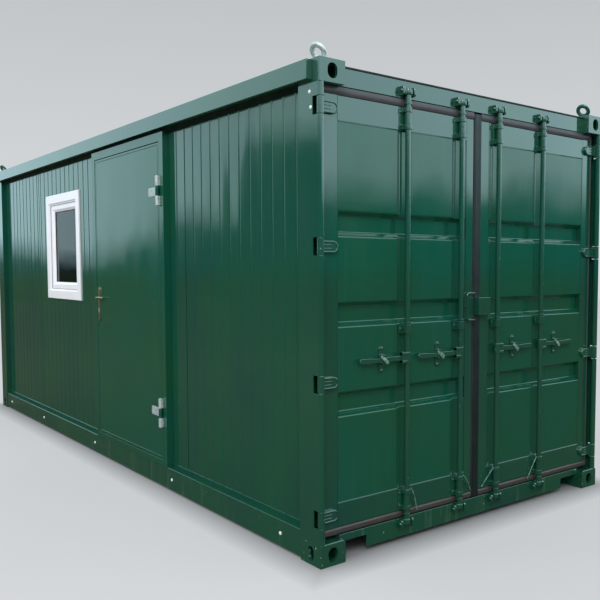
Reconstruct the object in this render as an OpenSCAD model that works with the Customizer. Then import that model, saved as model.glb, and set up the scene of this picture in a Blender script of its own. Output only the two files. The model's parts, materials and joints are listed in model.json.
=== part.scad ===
// Portable site cabin on a 20 foot container frame.
// One end has a pair of cargo doors, one long side has a personnel door and a window.
// The origin is under the middle of the cabin, at the level of its feet. X runs across,
// Y runs from the cargo doors to the far end, and Z is up.

/* [Overall size] */
// Length over the corner castings
body_l = 6058; // [5400:1:7400]
// Width over the corner castings
body_w = 2438; // [2300:1:3000]
// Height over the corner castings
body_h = 2591; // [2500:1:3200]

/* [Corner castings] */
// Length of a casting along the side
cast_l = 178; // [170:1:215]
// Width of a casting across the end
cast_w = 162; // [150:1:195]
// Height of a casting
cast_h = 118; // [110:1:130]
// Wall of a casting
cast_wall = 20; // [14:1:22]
// Width of the aperture in the end face
cast_end_slot = 62; // [50:1:66]
// Width of the aperture in the side face
cast_side_slot = 51; // [44:1:56]
// Length of the aperture in the top and bottom faces
cast_plan_slot = 122; // [100:1:130]

/* [Frame] */
// Plate thickness of posts, sills and headers
plate_t = 6; // [4:0.5:10]
// How far a post plate runs past its casting
post_past = 7; // [0:1:20]
// Depth of a post seen from the end
post_w = 75; // [70:1:90]
// Bottom of the side sills above the feet
sill_z = 12; // [5:1:30]
// Top of the side sills
sill_top = 158; // [150:1:180]
// How far the side sills stand in from the castings
sill_in = 5; // [2:1:12]
// Width of the sill's lower flange
sill_flange = 95; // [70:1:110]
// How far the roof fascia stands out from the castings
fascia_out = 36; // [20:1:60]
// Height of the roof fascia
fascia_h = 99; // [80:1:105]
// Gap from the top of the castings to the top of the fascia
fascia_drop = 6; // [2:1:20]
// How far the fascia starts behind the face of the end castings
fascia_y = 62; // [40:1:100]
// Sheet thickness of the roof fascia
fascia_t = 4; // [2:0.5:6]

/* [Door end] */
// How far the door sill and header stand in from the castings
end_in = 48; // [46:1:60]
// Bottom edge of the door sill
end_sill_z = 26; // [15:1:40]
// Top of the door sill
end_sill_top = 133; // [128:1:135]
// Length of the cutaway beside each casting, from the cabin's side
notch_l = 345; // [250:1:420]
// Height of the cutaway above the feet
notch_z = 93; // [70:1:100]
// Bottom edge of the header, below the top of the castings
header_drop = 115; // [110:1:118]
// Top edge of the header, below the top of the castings
header_top_drop = 16; // [6:1:30]

/* [Walls, floor and roof] */
// How far the wall panels stand in from the castings
wall_in = 45; // [40:1:60]
// Thickness of the insulated wall panels
wall_t = 80; // [60:1:90]
// Thickness of the floor deck
deck_t = 28; // [18:1:40]
// Depth of the insulated floor tray under the deck
tray_h = 112; // [90:1:120]
// Thickness of the ceiling board
ceiling_t = 16; // [10:1:20]

/* [Cargo doors] */
// Thickness of a leaf
leaf_t = 50; // [40:1:55]
// How far the face of a leaf stands in from the castings
leaf_in = 52; // [52:1:60]
// Gap from the cabin's side to the edge of a leaf
leaf_side = 62; // [58:1:70]
// Height of a rubber seal
seal_h = 36; // [30:1:38]
// Depth of a rubber seal
seal_d = 30; // [24:1:34]
// Width of the seal between the leaves
centre_seal_w = 58; // [50:1:66]
// Clearance between parts that move past each other
run_gap = 5; // [5:0.5:8]
// Width of a leaf's hinge stile
hinge_stile = 90; // [80:1:110]
// Distance from the middle to the pressed panels
panel_from_mid = 101; // [90:1:110]
// Height of the top and bottom rails of a leaf
leaf_rail = 130; // [124:1:150]
// Sheet thickness of the pressed panels
sheet_t = 3; // [2:0.5:4]
// Depth of the pressings
press_d = 36; // [20:1:40]
// Height of a pressed band
band_h = 132; // [100:1:150]
// Spacing of the pressed bands
band_pitch = 474; // [400:1:520]
// Width of the channel behind a locking bar
channel_w = 104; // [90:1:120]
// Width of a pressing's sloping side
press_slope = 24; // [16:1:28]

/* [Cargo hinges] */
// Radius of the hinge knuckles and of the post's round edge
knuckle_r = 18; // [16:0.5:20]
// Radius of the hinge pins
pin_r = 10; // [8:0.5:12]
// Clearance of the knuckles on their pins
pin_clear = 0.5; // [0.3:0.1:1]
// Height of a knuckle
knuckle_h = 86; // [70:1:100]
// Gap above and below a knuckle
knuckle_gap = 3; // [2:0.5:5]
// Reach of a hinge blade from the cabin's side
blade_reach = 143; // [130:1:150]
// Thickness of a hinge blade
blade_t = 16; // [10:1:16]
// Height of the lowest hinge
hinge_low = 250; // [235:1:280]
// Number of hinges on each leaf
hinge_n = 4; // [3:1:5]

/* [Locking bars] */
// Radius of a locking bar
bar_r = 16; // [13:0.5:16]
// How far the bars' axes stand in from the castings
bar_in = 27; // [25:1:27]
// Distance from the middle to the inner bars
bar_inner = 165; // [155:1:190]
// Distance from the middle to the outer bars
bar_outer = 597; // [560:1:640]
// Clearance of a bar in its guides
guide_clear = 1; // [0.5:0.5:1.5]
// Height of the handles
handle_z = 1048; // [1000:1:1100]
// Length of a handle from the bar's axis
handle_l = 345; // [300:1:360]
// Thickness of a handle
handle_t = 10; // [8:1:12]
// Height of the flat of a handle
handle_h = 26; // [20:1:30]
// Distance from the bar's axis to the handle's catch
catch_x = 172; // [150:1:200]
// Distance from the bar's axis to a keeper's cheek
cheek_x = 34; // [33:1:40]
// Thickness of a cheek
cheek_t = 13; // [8:1:16]

/* [Lock box] */
// Width of the box over the padlock
box_w = 104; // [90:1:120]
// Height of the box
box_h = 106; // [90:1:120]
// Height of the middle of the box
box_z = 1316; // [1300:1:1330]
// Depth of the box
box_d = 46; // [40:1:46]
// Sheet thickness of the box
box_t = 4; // [3:0.5:6]

/* [Side door] */
// Distance from the door end to the side door's frame
side_door_y = 1800; // [1600:1:2000]
// Width of the side door's frame
side_door_w = 1332; // [1000:1:1500]
// Face width of the frame
side_frame_w = 62; // [50:1:75]
// Height of the threshold
threshold_h = 44; // [30:1:60]
// Thickness of the side door leaf
side_leaf_t = 50; // [40:1:60]
// Radius of the side door's hinge barrels
barrel_r = 14; // [11:0.5:16]
// Length of one hinge barrel
barrel_h = 66; // [50:1:80]
// Height of the lower hinge
side_hinge_low = 535; // [500:1:600]
// Height of the upper hinge
side_hinge_high = 2075; // [1900:1:2090]
// Height of the lever handle
lever_z = 1305; // [1200:1:1350]
// Length of the lever
lever_l = 128; // [110:1:140]
// Radius of the lever's spindle
spindle_r = 6; // [4:0.5:7]
// Distance from the leaf's free edge to the spindle
backset = 46; // [40:1:60]

/* [Window] */
// Distance from the door end to the window
window_y = 3560; // [3500:1:3700]
// Width of the window frame
window_w = 890; // [700:1:1100]
// Height of the window frame
window_h = 960; // [800:1:1100]
// Bottom of the window frame
window_z = 1262; // [1000:1:1350]
// Face width of the frame
window_face = 92; // [70:1:110]
// Face width of the sash
sash_face = 62; // [45:1:80]
// How far the frame stands out from the wall
window_out = 13; // [5:1:20]

/* [Lifting eyes] */
// Outer radius of an eye
eye_r = 50; // [42:1:60]
// Radius of the hole in an eye
eye_hole_r = 22; // [18:0.5:26]
// Thickness of an eye
eye_t = 24; // [18:1:30]
// How far an eye is turned from the end face
eye_turn = 80; // [0:1:90]
// How far an eye leans over
eye_lean = 38; // [0:1:45]

/* [Hidden] */
$fn = 48;

green = "#1d4d39";
rubber = "#3a3640";
zinc = "#c5d0d0";
white = "#e9eaf8";
bronze = "#b9a98c";

side_x = -body_w / 2;                     // plane of the side door's castings
end_y = -body_l / 2;                      // plane of the cargo door castings
post_l = cast_l + post_past;              // length of a post along the side
wall_x = side_x + wall_in;                // outer face of the side wall
frame_top = body_h - cast_h;              // underside of the top castings and top of the walls
web_y = leaf_in + leaf_t + 10;            // stop behind the edge of the leaves
header_z = body_h - header_drop;
header_top = body_h - header_top_drop;
fascia_top = body_h - fascia_drop;
fascia_bottom = fascia_top - fascia_h;

leaf_y = end_y + leaf_in;                 // face of the cargo leaves
leaf_bottom = end_sill_top + run_gap + 2 + seal_h;
leaf_top = frame_top - run_gap - 2 - seal_h;
right_edge = centre_seal_w / 2 - 8;       // free edge of the right leaf from the middle
left_edge = centre_seal_w / 2 + 10;       // free edge of the left leaf from the middle
panel_z0 = leaf_bottom + leaf_rail;
panel_z1 = leaf_top - leaf_rail;
panel_x0 = body_w / 2 - leaf_side - hinge_stile;
panel_x1 = panel_from_mid;
band_mid = (panel_z0 + panel_z1) / 2;
pin_x = -body_w / 2 + knuckle_r;          // axis of the left cargo hinges
pin_y = end_y + knuckle_r;
hinge_high = leaf_top - hinge_low + leaf_bottom + 2;
hinge_zs = [for (i = [0:hinge_n - 1]) hinge_low + i * (hinge_high - hinge_low) / (hinge_n - 1)];
bar_y = end_y + bar_in;
bar_z0 = end_sill_top - 37;
bar_z1 = header_z + 50;
guide_r = bar_r + 7;
guide_plate = leaf_in - bar_in - bar_r - run_gap;
guide_len = 118;
bar_xs = [-bar_outer, -bar_inner, bar_inner, bar_outer];
box_y = leaf_y - box_d;

deck_z = sill_top - plate_t;
deck_top = deck_z + deck_t;
opening_y0 = end_y + side_door_y + side_frame_w;
opening_y1 = end_y + side_door_y + side_door_w - side_frame_w;
opening_z0 = sill_top + threshold_h;
opening_z1 = frame_top - side_frame_w;
side_pin_x = side_x - barrel_r;
side_leaf_x = side_x + 2;
spindle_y = opening_y1 - run_gap - backset;
lever_out = fascia_out - 2;
side_leaf_back = side_leaf_x + side_leaf_t - 4; // inner face of the side door leaf
side_hinges = [side_hinge_low, side_hinge_high];
side_pin_r = barrel_r - 8;
lever_t = 14;

// Turns a thing drawn at the left of the door end, and mirrors it to the right
module on_right() mirror([1, 0, 0]) children();

// Places a thing drawn at the corner by the side door at all four corners
module at_corners(rear = true, front = true)
    for (mx = [0, 1], my = [0, 1])
        if ((my == 0 && front) || (my == 1 && rear))
            mirror([mx, 0, 0]) mirror([0, my, 0]) translate([side_x, end_y, 0]) children();

module box(lo, hi) translate(lo) cube(hi - lo);

// An upright slot with round ends, cut along Y
module end_slot(w, h, depth)
    rotate([90, 0, 0]) linear_extrude(depth, center = true) slot_shape(w, h);

module slot_shape(w, h) {
    for (s = [-1, 1]) translate([0, s * (h - w) / 2]) circle(d = w);
    square([w, h - w], center = true);
}

module casting() {
    inner = [cast_w, cast_l, cast_h] - 2 * cast_wall * [1, 1, 1];
    difference() {
        cube([cast_w, cast_l, cast_h]);
        translate(cast_wall * [1, 1, 1]) cube(inner);
        translate([cast_w / 2, 0, cast_h / 2]) end_slot(cast_end_slot, inner.z, 4 * cast_wall - 8);
        translate([0, cast_l / 2, cast_h / 2]) rotate(90)
            end_slot(cast_side_slot, inner.z, 4 * cast_wall - 8);
        translate([cast_w / 2, cast_l / 2, -1]) linear_extrude(cast_wall + 2)
            slot_shape(cast_end_slot, cast_plan_slot);
    }
}

module bottom_castings() color(green) at_corners() casting();

module top_castings() color(green)
    translate([0, 0, body_h]) mirror([0, 0, 1]) at_corners() casting();

// Space that a post leaves for the end of its sill
module sill_seat() box([-1, cast_l, cast_h - 1], [cast_w, post_l + 1, sill_top]);

// Plan of a front post: a box tube with a round edge that the door hinges turn in
module front_post_plan() {
    translate([knuckle_r, knuckle_r]) circle(knuckle_r);
    translate([0, knuckle_r]) square([plate_t, post_l - knuckle_r]);
    translate([0, web_y]) difference() {
        square([post_w, post_l - web_y]);
        translate([plate_t, plate_t])
            square([post_w - 2 * plate_t, post_l - web_y - 2 * plate_t]);
    }
}

module front_corner_posts() color(green)
    at_corners(rear = false) difference() {
        translate([0, 0, cast_h]) linear_extrude(frame_top - cast_h) front_post_plan();
        sill_seat();
        for (z = hinge_zs) translate([0, 0, z]) {
            slot_z = knuckle_h / 2 + knuckle_gap;
            box([-1, -1, -slot_z], [2 * knuckle_r + 1, leaf_in + 10, slot_z]);
            translate([knuckle_r, knuckle_r, 0])
                cylinder(r = pin_r, h = 2 * slot_z + 60, center = true);
        }
    }

module hinge_pins() color(zinc)
    at_corners(rear = false) for (z = hinge_zs)
        translate([knuckle_r, knuckle_r, z])
            cylinder(r = pin_r, h = knuckle_h + 2 * knuckle_gap + 60, center = true);

module rear_corner_posts() color(green)
    at_corners(front = false) difference() {
        translate([0, 0, cast_h]) linear_extrude(frame_top - cast_h) {
            square([plate_t, post_l]);
            square([post_w * 2, plate_t]);
            translate([0, post_l - plate_t]) square([wall_in, plate_t]);
            translate([post_w * 2 - plate_t, 0]) square([plate_t, wall_in]);
        }
        sill_seat();
    }

// A channel that opens inwards, with a wide top flange under the wall
module side_sills() color(green) for (m = [0, 1]) mirror([m, 0, 0])
    translate([side_x + sill_in, end_y + cast_l, 0]) {
        run = body_l - 2 * cast_l;
        box([0, 0, sill_z], [plate_t, run, sill_top]);
        box([0, 0, sill_z], [sill_flange, run, sill_z + plate_t]);
        box([0, 0, sill_top - plate_t], [wall_in + wall_t - sill_in, run, sill_top]);
    }

module end_sills() color(green) {
    half = body_w / 2 - cast_w;
    difference() {
        union() {
            translate([0, end_y + end_in, 0])
                box([-half, 0, end_sill_z], [half, plate_t, end_sill_top]);
            translate([0, end_y + end_in, 0])
                box([-half, 0, end_sill_top - plate_t], [half, cast_l - end_in, end_sill_top]);
        }
        for (s = [-1, 1]) translate([s * (body_w / 2 - notch_l / 2), end_y, 0])
            box([-notch_l / 2, 0, 0], [notch_l / 2, cast_l, notch_z]);
    }
    mirror([0, 1, 0]) translate([0, end_y + sill_in, 0]) {
        box([-half, 0, sill_z], [half, plate_t, sill_top]);
        box([-half, 0, sill_top - plate_t], [half, wall_in + wall_t - sill_in, sill_top]);
    }
}

// Overhanging roof edge that passes outside the castings
module roof_fascias() color(green) for (m = [0, 1]) mirror([m, 0, 0]) {
    x = side_x - fascia_out;
    y = body_l / 2 - fascia_y;
    mid = body_l / 2 - cast_l;
    t = fascia_t;
    box([x, -y, fascia_bottom], [x + t, y, fascia_top]);
    box([x, -y, fascia_top - t], [side_x, y, fascia_top]);
    box([x, -y, fascia_bottom], [side_x, y, fascia_bottom + t]);
    for (s = [-1, 1]) box([x, s * y - t / 2 - s * t / 2, fascia_bottom],
                          [side_x, s * y + t / 2 - s * t / 2, fascia_top]);
    box([side_x, -mid, fascia_bottom], [wall_x, mid, fascia_bottom + t]);
    box([side_x, -mid, fascia_top - t], [wall_x + 40, mid, fascia_top]);
}

module end_headers() color(green) {
    half = body_w / 2 - cast_w;
    translate([0, end_y + end_in, 0]) {
        box([-half, 0, header_z], [half, plate_t, header_top]);
        box([-half, 0, header_top - plate_t], [half, cast_l - end_in, header_top]);
        box([-half, web_y - end_in, leaf_top - 12],
            [half, web_y - end_in + plate_t, header_top]);
        box([side_x + post_w, web_y - end_in, leaf_top - 12],
            [-side_x - post_w, web_y - end_in + plate_t, frame_top]);
    }
    mirror([0, 1, 0]) translate([0, end_y, 0]) {
        box([-half, 0, header_z], [half, plate_t, header_top]);
        box([-half, 0, header_top - plate_t], [half, cast_l, header_top]);
    }
}

module wall_panel(y0, y1) box([wall_x, y0, sill_top], [wall_x + wall_t, y1, frame_top]);

module wall_beside_side_door() color(green)
    wall_panel(end_y + post_l, end_y + side_door_y);

module wall_with_window() color(green) difference() {
    wall_panel(end_y + side_door_y + side_door_w, body_l / 2 - post_l);
    translate([side_x, end_y + window_y, window_z])
        cube([wall_in + wall_t + 1, window_w, window_h]);
}

module blank_side_wall() color(green) mirror([1, 0, 0])
    wall_panel(end_y + post_l, body_l / 2 - post_l);

module rear_wall() color(green) mirror([0, 1, 0])
    box([wall_x + wall_t, end_y + wall_in, sill_top],
        [-wall_x - wall_t, end_y + wall_in + wall_t, frame_top]);

module floor_tray() color("#7d8283")
    box([side_x + sill_in + sill_flange, end_y + cast_l, deck_z - tray_h],
        [-side_x - sill_in - sill_flange, body_l / 2 - cast_l, deck_z]);

module floor_deck() color("#8a7a64")
    box([wall_x + wall_t, end_y + cast_l, deck_z],
        [-wall_x - wall_t, body_l / 2 - wall_in - wall_t, deck_top]);

module roof() color(green)
    box([wall_x, end_y + cast_l, frame_top], [-wall_x, body_l / 2 - cast_l, fascia_top - fascia_t]);

module ceiling() color(white)
    box([wall_x + wall_t, end_y + post_l, frame_top - ceiling_t],
        [-wall_x - wall_t, body_l / 2 - wall_in - wall_t, frame_top]);

// A forged ring on a foot that stands on the casting
module lifting_eye() {
    ring = (eye_r - eye_hole_r);
    foot = 12;
    translate([0, 0, foot]) rotate([eye_lean, 0, 0]) translate([0, 0, eye_r - 6]) rotate([90, 0, 0])
        difference() {
            rotate_extrude() translate([eye_hole_r + ring / 2, 0]) {
                circle(d = min(ring, eye_t));
                square([ring, eye_t - 12], center = true);
            }
            cylinder(r = eye_hole_r, h = 2 * eye_t, center = true);
        }
    translate([-40, -52, 0]) cube([80, 104, foot]);
}

module lifting_eyes() color(zinc) for (sx = [-1, 1], sy = [-1, 1])
    translate([sx * (body_w - cast_w) / 2, sy * (body_l - cast_l) / 2, body_h])
        rotate(-eye_turn) lifting_eye();

// Two cheeks beside the end of a locking bar
module keeper(up) translate([0, 0, up ? header_z + 10 : end_sill_top - 4])
    mirror([0, 0, up ? 0 : 1]) for (s = [0, 1]) mirror([s, 0, 0])
        box([cheek_x, end_y + 14, 0], [cheek_x + cheek_t, end_y + end_in, 50]);

module bar_keepers() color(green) for (x = bar_xs) translate([x, 0, 0]) {
    keeper(true);
    keeper(false);
}

// A pressing that is wide at the face and narrow at its floor, as a polygon
function press_shape(w) = [
    [-w / 2, -1], [-w / 2, 0], [press_slope - w / 2, press_d], [w / 2 - press_slope, press_d],
    [w / 2, 0], [w / 2, -1],
];

// Solid block with the pressings cut into its front
module pressed_block(x0, x1) difference() {
    box([x0, 0, panel_z0], [x1, press_d + 12, panel_z1]);
    for (i = [-1:1]) translate([0, 0, band_mid + i * band_pitch])
        rotate([90, 0, 90]) linear_extrude(4 * body_w, center = true)
            polygon([for (p = press_shape(band_h)) [p.y, p.x]]);
    for (x = [-bar_outer, -bar_inner]) translate([x, 0, 0])
        linear_extrude(2 * body_h) polygon(press_shape(channel_w));
}

module pressed_sheet() {
    x0 = -panel_x0;
    x1 = -panel_x1;
    intersection() {
        difference() {
            pressed_block(x0, x1);
            translate([0, sheet_t, 0]) pressed_block(x0 - 1, x1 + 1);
        }
        box([x0, 0, panel_z0], [x1, leaf_t, panel_z1]);
    }
}

// The left leaf, from its hinge edge to the given distance from the middle
module cargo_leaf(edge) translate([0, leaf_y, 0]) {
    difference() {
        box([side_x + leaf_side, 0, leaf_bottom], [-edge, leaf_t, leaf_top]);
        box([-panel_x0, -1, panel_z0], [-panel_x1, leaf_t + 1, panel_z1]);
    }
    translate([0, 2, 0]) pressed_sheet();
}

module left_cargo_leaf() color(green) cargo_leaf(left_edge);
module right_cargo_leaf() color(green) on_right() cargo_leaf(right_edge);

// Seal along the top, bottom and hinge edges of a leaf
module cargo_seal(edge) {
    out = 4;
    hinge_x = side_x + leaf_side;
    for (z = [leaf_top, leaf_bottom - seal_h])
        box([hinge_x, leaf_y - out, z], [-edge, leaf_y + seal_d, z + seal_h]);
    box([hinge_x - 20, leaf_y, leaf_bottom - seal_h],
        [hinge_x, leaf_y + seal_d, leaf_top + seal_h]);
}

module left_cargo_seal() color(rubber) cargo_seal(left_edge);

module right_cargo_seal() color(rubber) {
    half = centre_seal_w / 2;
    on_right() cargo_seal(half);
    box([-half, leaf_y - 6, leaf_bottom - seal_h], [half, leaf_y, leaf_top + seal_h]);
    box([-half, leaf_y - 1, leaf_bottom - seal_h], [right_edge, leaf_y + seal_d, leaf_top + seal_h]);
    for (z = [leaf_top, leaf_bottom - seal_h])
        box([right_edge - 1, leaf_y - 1, z], [half + 1, leaf_y + seal_d, z + seal_h]);
}

module hinge_blades() for (z = hinge_zs) translate([pin_x, pin_y, z]) difference() {
    reach = blade_reach - knuckle_r;
    face = leaf_in - knuckle_r;
    end_r = 0.36 * knuckle_h;
    union() {
        cylinder(r = knuckle_r, h = knuckle_h, center = true);
        box([0, 0, -knuckle_h / 2], [knuckle_r, face, knuckle_h / 2]);
        box([0, face - blade_t, -end_r], [reach - end_r, face, end_r]);
        translate([reach - end_r, face, 0]) rotate([90, 0, 0]) cylinder(r = end_r, h = blade_t);
    }
    cylinder(r = pin_r + pin_clear, h = knuckle_h + 2, center = true);
}

module left_hinge_blades() color(green) hinge_blades();
module right_hinge_blades() color(green) on_right() hinge_blades();

// A plate on the leaf with round collars that a locking bar turns in
module bar_guide(len, collar) translate([0, bar_in - leaf_in, 0]) {
    face = leaf_in - bar_in;
    ends = len > collar ? [-1, 1] : [0];
    box([-46, face - guide_plate, -len / 2], [36, face, len / 2]);
    difference() {
        for (s = ends) translate([0, 0, s * (len - collar) / 2]) {
            cylinder(r = guide_r, h = collar, center = true);
            box([-guide_r, 0, -collar / 2], [guide_r, face, collar / 2]);
        }
        cylinder(r = bar_r + guide_clear, h = len + 2, center = true);
    }
}

module bar_guides() for (x = [-bar_outer, -bar_inner]) translate([x, leaf_y, 0]) {
    translate([0, 0, leaf_top - leaf_rail / 2]) bar_guide(guide_len, 26);
    translate([0, 0, handle_z + 160]) bar_guide(50, 50);
    translate([0, 0, leaf_bottom + leaf_rail / 2]) bar_guide(guide_len, 26);
}

module left_bar_guides() color(green) bar_guides();
module right_bar_guides() color(green) on_right() bar_guides();

// An oval plate with two lugs that hold the handle between them
module handle_catches() for (x = [-bar_outer, -bar_inner])
    translate([x - catch_x, leaf_y, handle_z]) {
        plate = 5;
        lug = handle_h / 2 + run_gap + 1;
        rotate([90, 0, 0]) linear_extrude(plate) slot_shape(40, 148);
        for (s = [-1, 1]) translate([0, 0, s * (lug + 4)])
            box([-11, bar_in - leaf_in - handle_t / 2, -4], [11, 0, 4]);
    }

module left_handle_catches() color(green) handle_catches();
module right_handle_catches() color(green) on_right() handle_catches();

// Bracket on the left leaf that the padlock's loop stands on
module left_lock_bracket() color(green) {
    w = 74;
    h = 172;
    out = 26;
    x1 = -left_edge + 1;
    translate([x1, leaf_y, box_z]) {
        box([-w, -6, -h / 2], [0, 0, h / 2]);
        for (s = [-1, 1]) translate([0, 0, s * (h / 2 - 3)])
            box([-w, -out, -3], [0, 0, 3]);
        box([-w, -out, -h / 2], [-w + 6, 0, h / 2]);
    }
}

// Box on the right leaf that shields the padlock, open below
module right_lock_box() color(green) difference() {
    x0 = 1 - centre_seal_w / 2;
    box([x0, box_y, box_z - box_h / 2], [x0 + box_w, leaf_y - 6, box_z + box_h / 2]);
    box([x0 + box_t, box_y + box_t, box_z - box_h],
        [x0 + box_w - box_t, leaf_y - 6 - box_t, box_z + box_h / 2 - box_t]);
}

// A locking bar with its cams and handle; the handle points to the hinge side
module locking_bar() {
    cam_h = 30;
    hub_h = 62;
    translate([0, 0, bar_z0]) cylinder(r = bar_r, h = bar_z1 - bar_z0);
    for (z = [bar_z0 + 4, bar_z1 - cam_h - 4]) translate([0, 0, z]) {
        box([-30, -7, 0], [0, 7, cam_h]);
        box([-7, 1 - bar_in, 0], [7, 0, cam_h]);
    }
    translate([0, 0, handle_z]) {
        cylinder(r = bar_r + 4, h = hub_h, center = true);
        box([-48, -10, -hub_h / 2], [0, 10, hub_h / 2]);
        box([-handle_l + handle_h / 2, -handle_t / 2, -handle_h / 2],
            [0, handle_t / 2, handle_h / 2]);
        translate([-handle_l + handle_h / 2, 0, 0]) rotate([90, 0, 0])
            cylinder(d = handle_h, h = handle_t, center = true);
        translate([-catch_x, -handle_t / 2, 0]) rotate([90, 30, 0])
            linear_extrude(5) slot_shape(20, hub_h);
    }
}

module placed_bar(i) translate([bar_xs[i], bar_y, 0])
    mirror([i > 1 ? 1 : 0, 0, 0]) locking_bar();

module locking_bar_1() color(green) placed_bar(0);
module locking_bar_2() color(green) placed_bar(1);
module locking_bar_3() color(green) placed_bar(2);
module locking_bar_4() color(green) placed_bar(3);

// Welded frame through the wall, standing out to the plane of the castings
module side_door_frame() color(green) difference() {
    y0 = end_y + side_door_y;
    box([side_x, y0, sill_top], [wall_x + wall_t, y0 + side_door_w, frame_top]);
    box([side_x - 1, opening_y0, opening_z0],
        [side_leaf_x + side_leaf_t, opening_y1, opening_z1]);
    stop = 18;
    box([side_x, opening_y0 + stop, opening_z0],
        [wall_x + wall_t + 1, opening_y1 - stop, opening_z1 - stop]);
}

module side_barrel(z) translate([side_pin_x, opening_y0, z])
    cylinder(r = barrel_r, h = barrel_h, center = true);

// Outer barrels, each on a tab welded to the frame, with one pin
module side_door_frame_barrels() color(zinc) for (z = side_hinges) {
    for (s = [-1, 1]) {
        side_barrel(z + s * (barrel_h + 1.5));
        translate([0, 0, z + s * (barrel_h + 1.5)])
            box([side_pin_x, opening_y0 - barrel_r, -barrel_h / 2],
                [side_x, opening_y0 - 3, barrel_h / 2]);
    }
    translate([side_pin_x, opening_y0, z]) cylinder(r = side_pin_r, h = 2 * barrel_h, center = true);
}

module side_door_leaf() color(green) difference() {
    box([side_leaf_x, opening_y0 + run_gap, opening_z0 + run_gap],
        [side_leaf_back, opening_y1 - run_gap, opening_z1 - run_gap]);
    translate([side_leaf_x - 1, spindle_y, lever_z]) rotate([0, 90, 0])
        cylinder(r = spindle_r + 1, h = side_leaf_t);
}

// Middle barrel of each hinge with its strap on the leaf
module side_door_hinge_leaves() color(zinc) for (z = side_hinges) difference() {
    union() {
        side_barrel(z);
        translate([0, opening_y0, z])
            box([side_pin_x + barrel_r - 6, 0, -30], [side_leaf_x, 170, 30]);
    }
    translate([side_pin_x, opening_y0, z])
        cylinder(r = side_pin_r + pin_clear, h = 2 * barrel_h, center = true);
}

module side_door_handle_plates() color(bronze) translate([0, spindle_y, lever_z - 50]) {
    for (x = [side_leaf_x - 8, side_leaf_back]) difference() {
        box([x, -23, -138], [x + 8, 23, 138]);
        translate([x - 1, 0, 50]) rotate([0, 90, 0]) cylinder(r = 10, h = 10);
    }
}

// Outer and inner lever with their necks, joined by the spindle
module side_door_lever() color(bronze) translate([0, spindle_y, lever_z]) {
    x0 = side_x - lever_out;
    x1 = side_leaf_back + 42;
    neck_r = spindle_r + 3;
    rotate([0, 90, 0]) {
        translate([0, 0, x0]) cylinder(r = neck_r, h = side_leaf_x - x0);
        translate([0, 0, side_leaf_back]) cylinder(r = neck_r, h = x1 - side_leaf_back);
        translate([0, 0, x0]) cylinder(r = spindle_r, h = x1 - x0);
        for (x = [x0, x1 - lever_t]) translate([0, 0, x]) cylinder(r = neck_r + 1, h = lever_t);
    }
    for (x = [x0, x1 - lever_t])
        box([x, -lever_l, -neck_r - 1], [x + lever_t, 0, neck_r + 1]);
}

module ring(lo, hi, face) difference() {
    box(lo, hi);
    box(lo + [-1, face, face], hi - [-1, face, face]);
}

module window_frame() color(white) translate([wall_x, end_y + window_y, window_z])
    ring([-window_out, 0, 0], [wall_t - 12, window_w, window_h], window_face);

module window_sash() color(white)
    translate([wall_x, end_y + window_y + window_face, window_z + window_face])
        ring([6, 0, 0], [wall_t - 18, window_w - 2 * window_face, window_h - 2 * window_face],
             sash_face);

module window_glass() color("#8fa3a5") {
    edge = window_face + sash_face;
    translate([wall_x + 30, end_y + window_y + edge, window_z + edge])
        cube([24, window_w - 2 * edge, window_h - 2 * edge]);
}

bottom_castings();
top_castings();
front_corner_posts();
rear_corner_posts();
side_sills();
end_sills();
roof_fascias();
end_headers();
hinge_pins();
wall_beside_side_door();
wall_with_window();
blank_side_wall();
rear_wall();
floor_tray();
floor_deck();
roof();
ceiling();
lifting_eyes();
bar_keepers();
window_frame();
window_sash();
window_glass();
side_door_frame();
side_door_frame_barrels();
side_door_leaf();
side_door_hinge_leaves();
side_door_handle_plates();
side_door_lever();
left_cargo_leaf();
left_cargo_seal();
left_hinge_blades();
left_bar_guides();
left_handle_catches();
left_lock_bracket();
right_cargo_leaf();
right_cargo_seal();
right_hinge_blades();
right_bar_guides();
right_handle_catches();
right_lock_box();
locking_bar_1();
locking_bar_2();
locking_bar_3();
locking_bar_4();
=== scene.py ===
# %% [markdown]
# # A green site cabin on a freight container frame
# The CAD model gives every size and place. This script gives each steel, rubber, plastic and
# glass piece its real surface: pressed doors, ribbed wall panels, forged door gear, rubber
# seals and gloss paint. Each step first says what the piece is and how it is made here.

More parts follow.
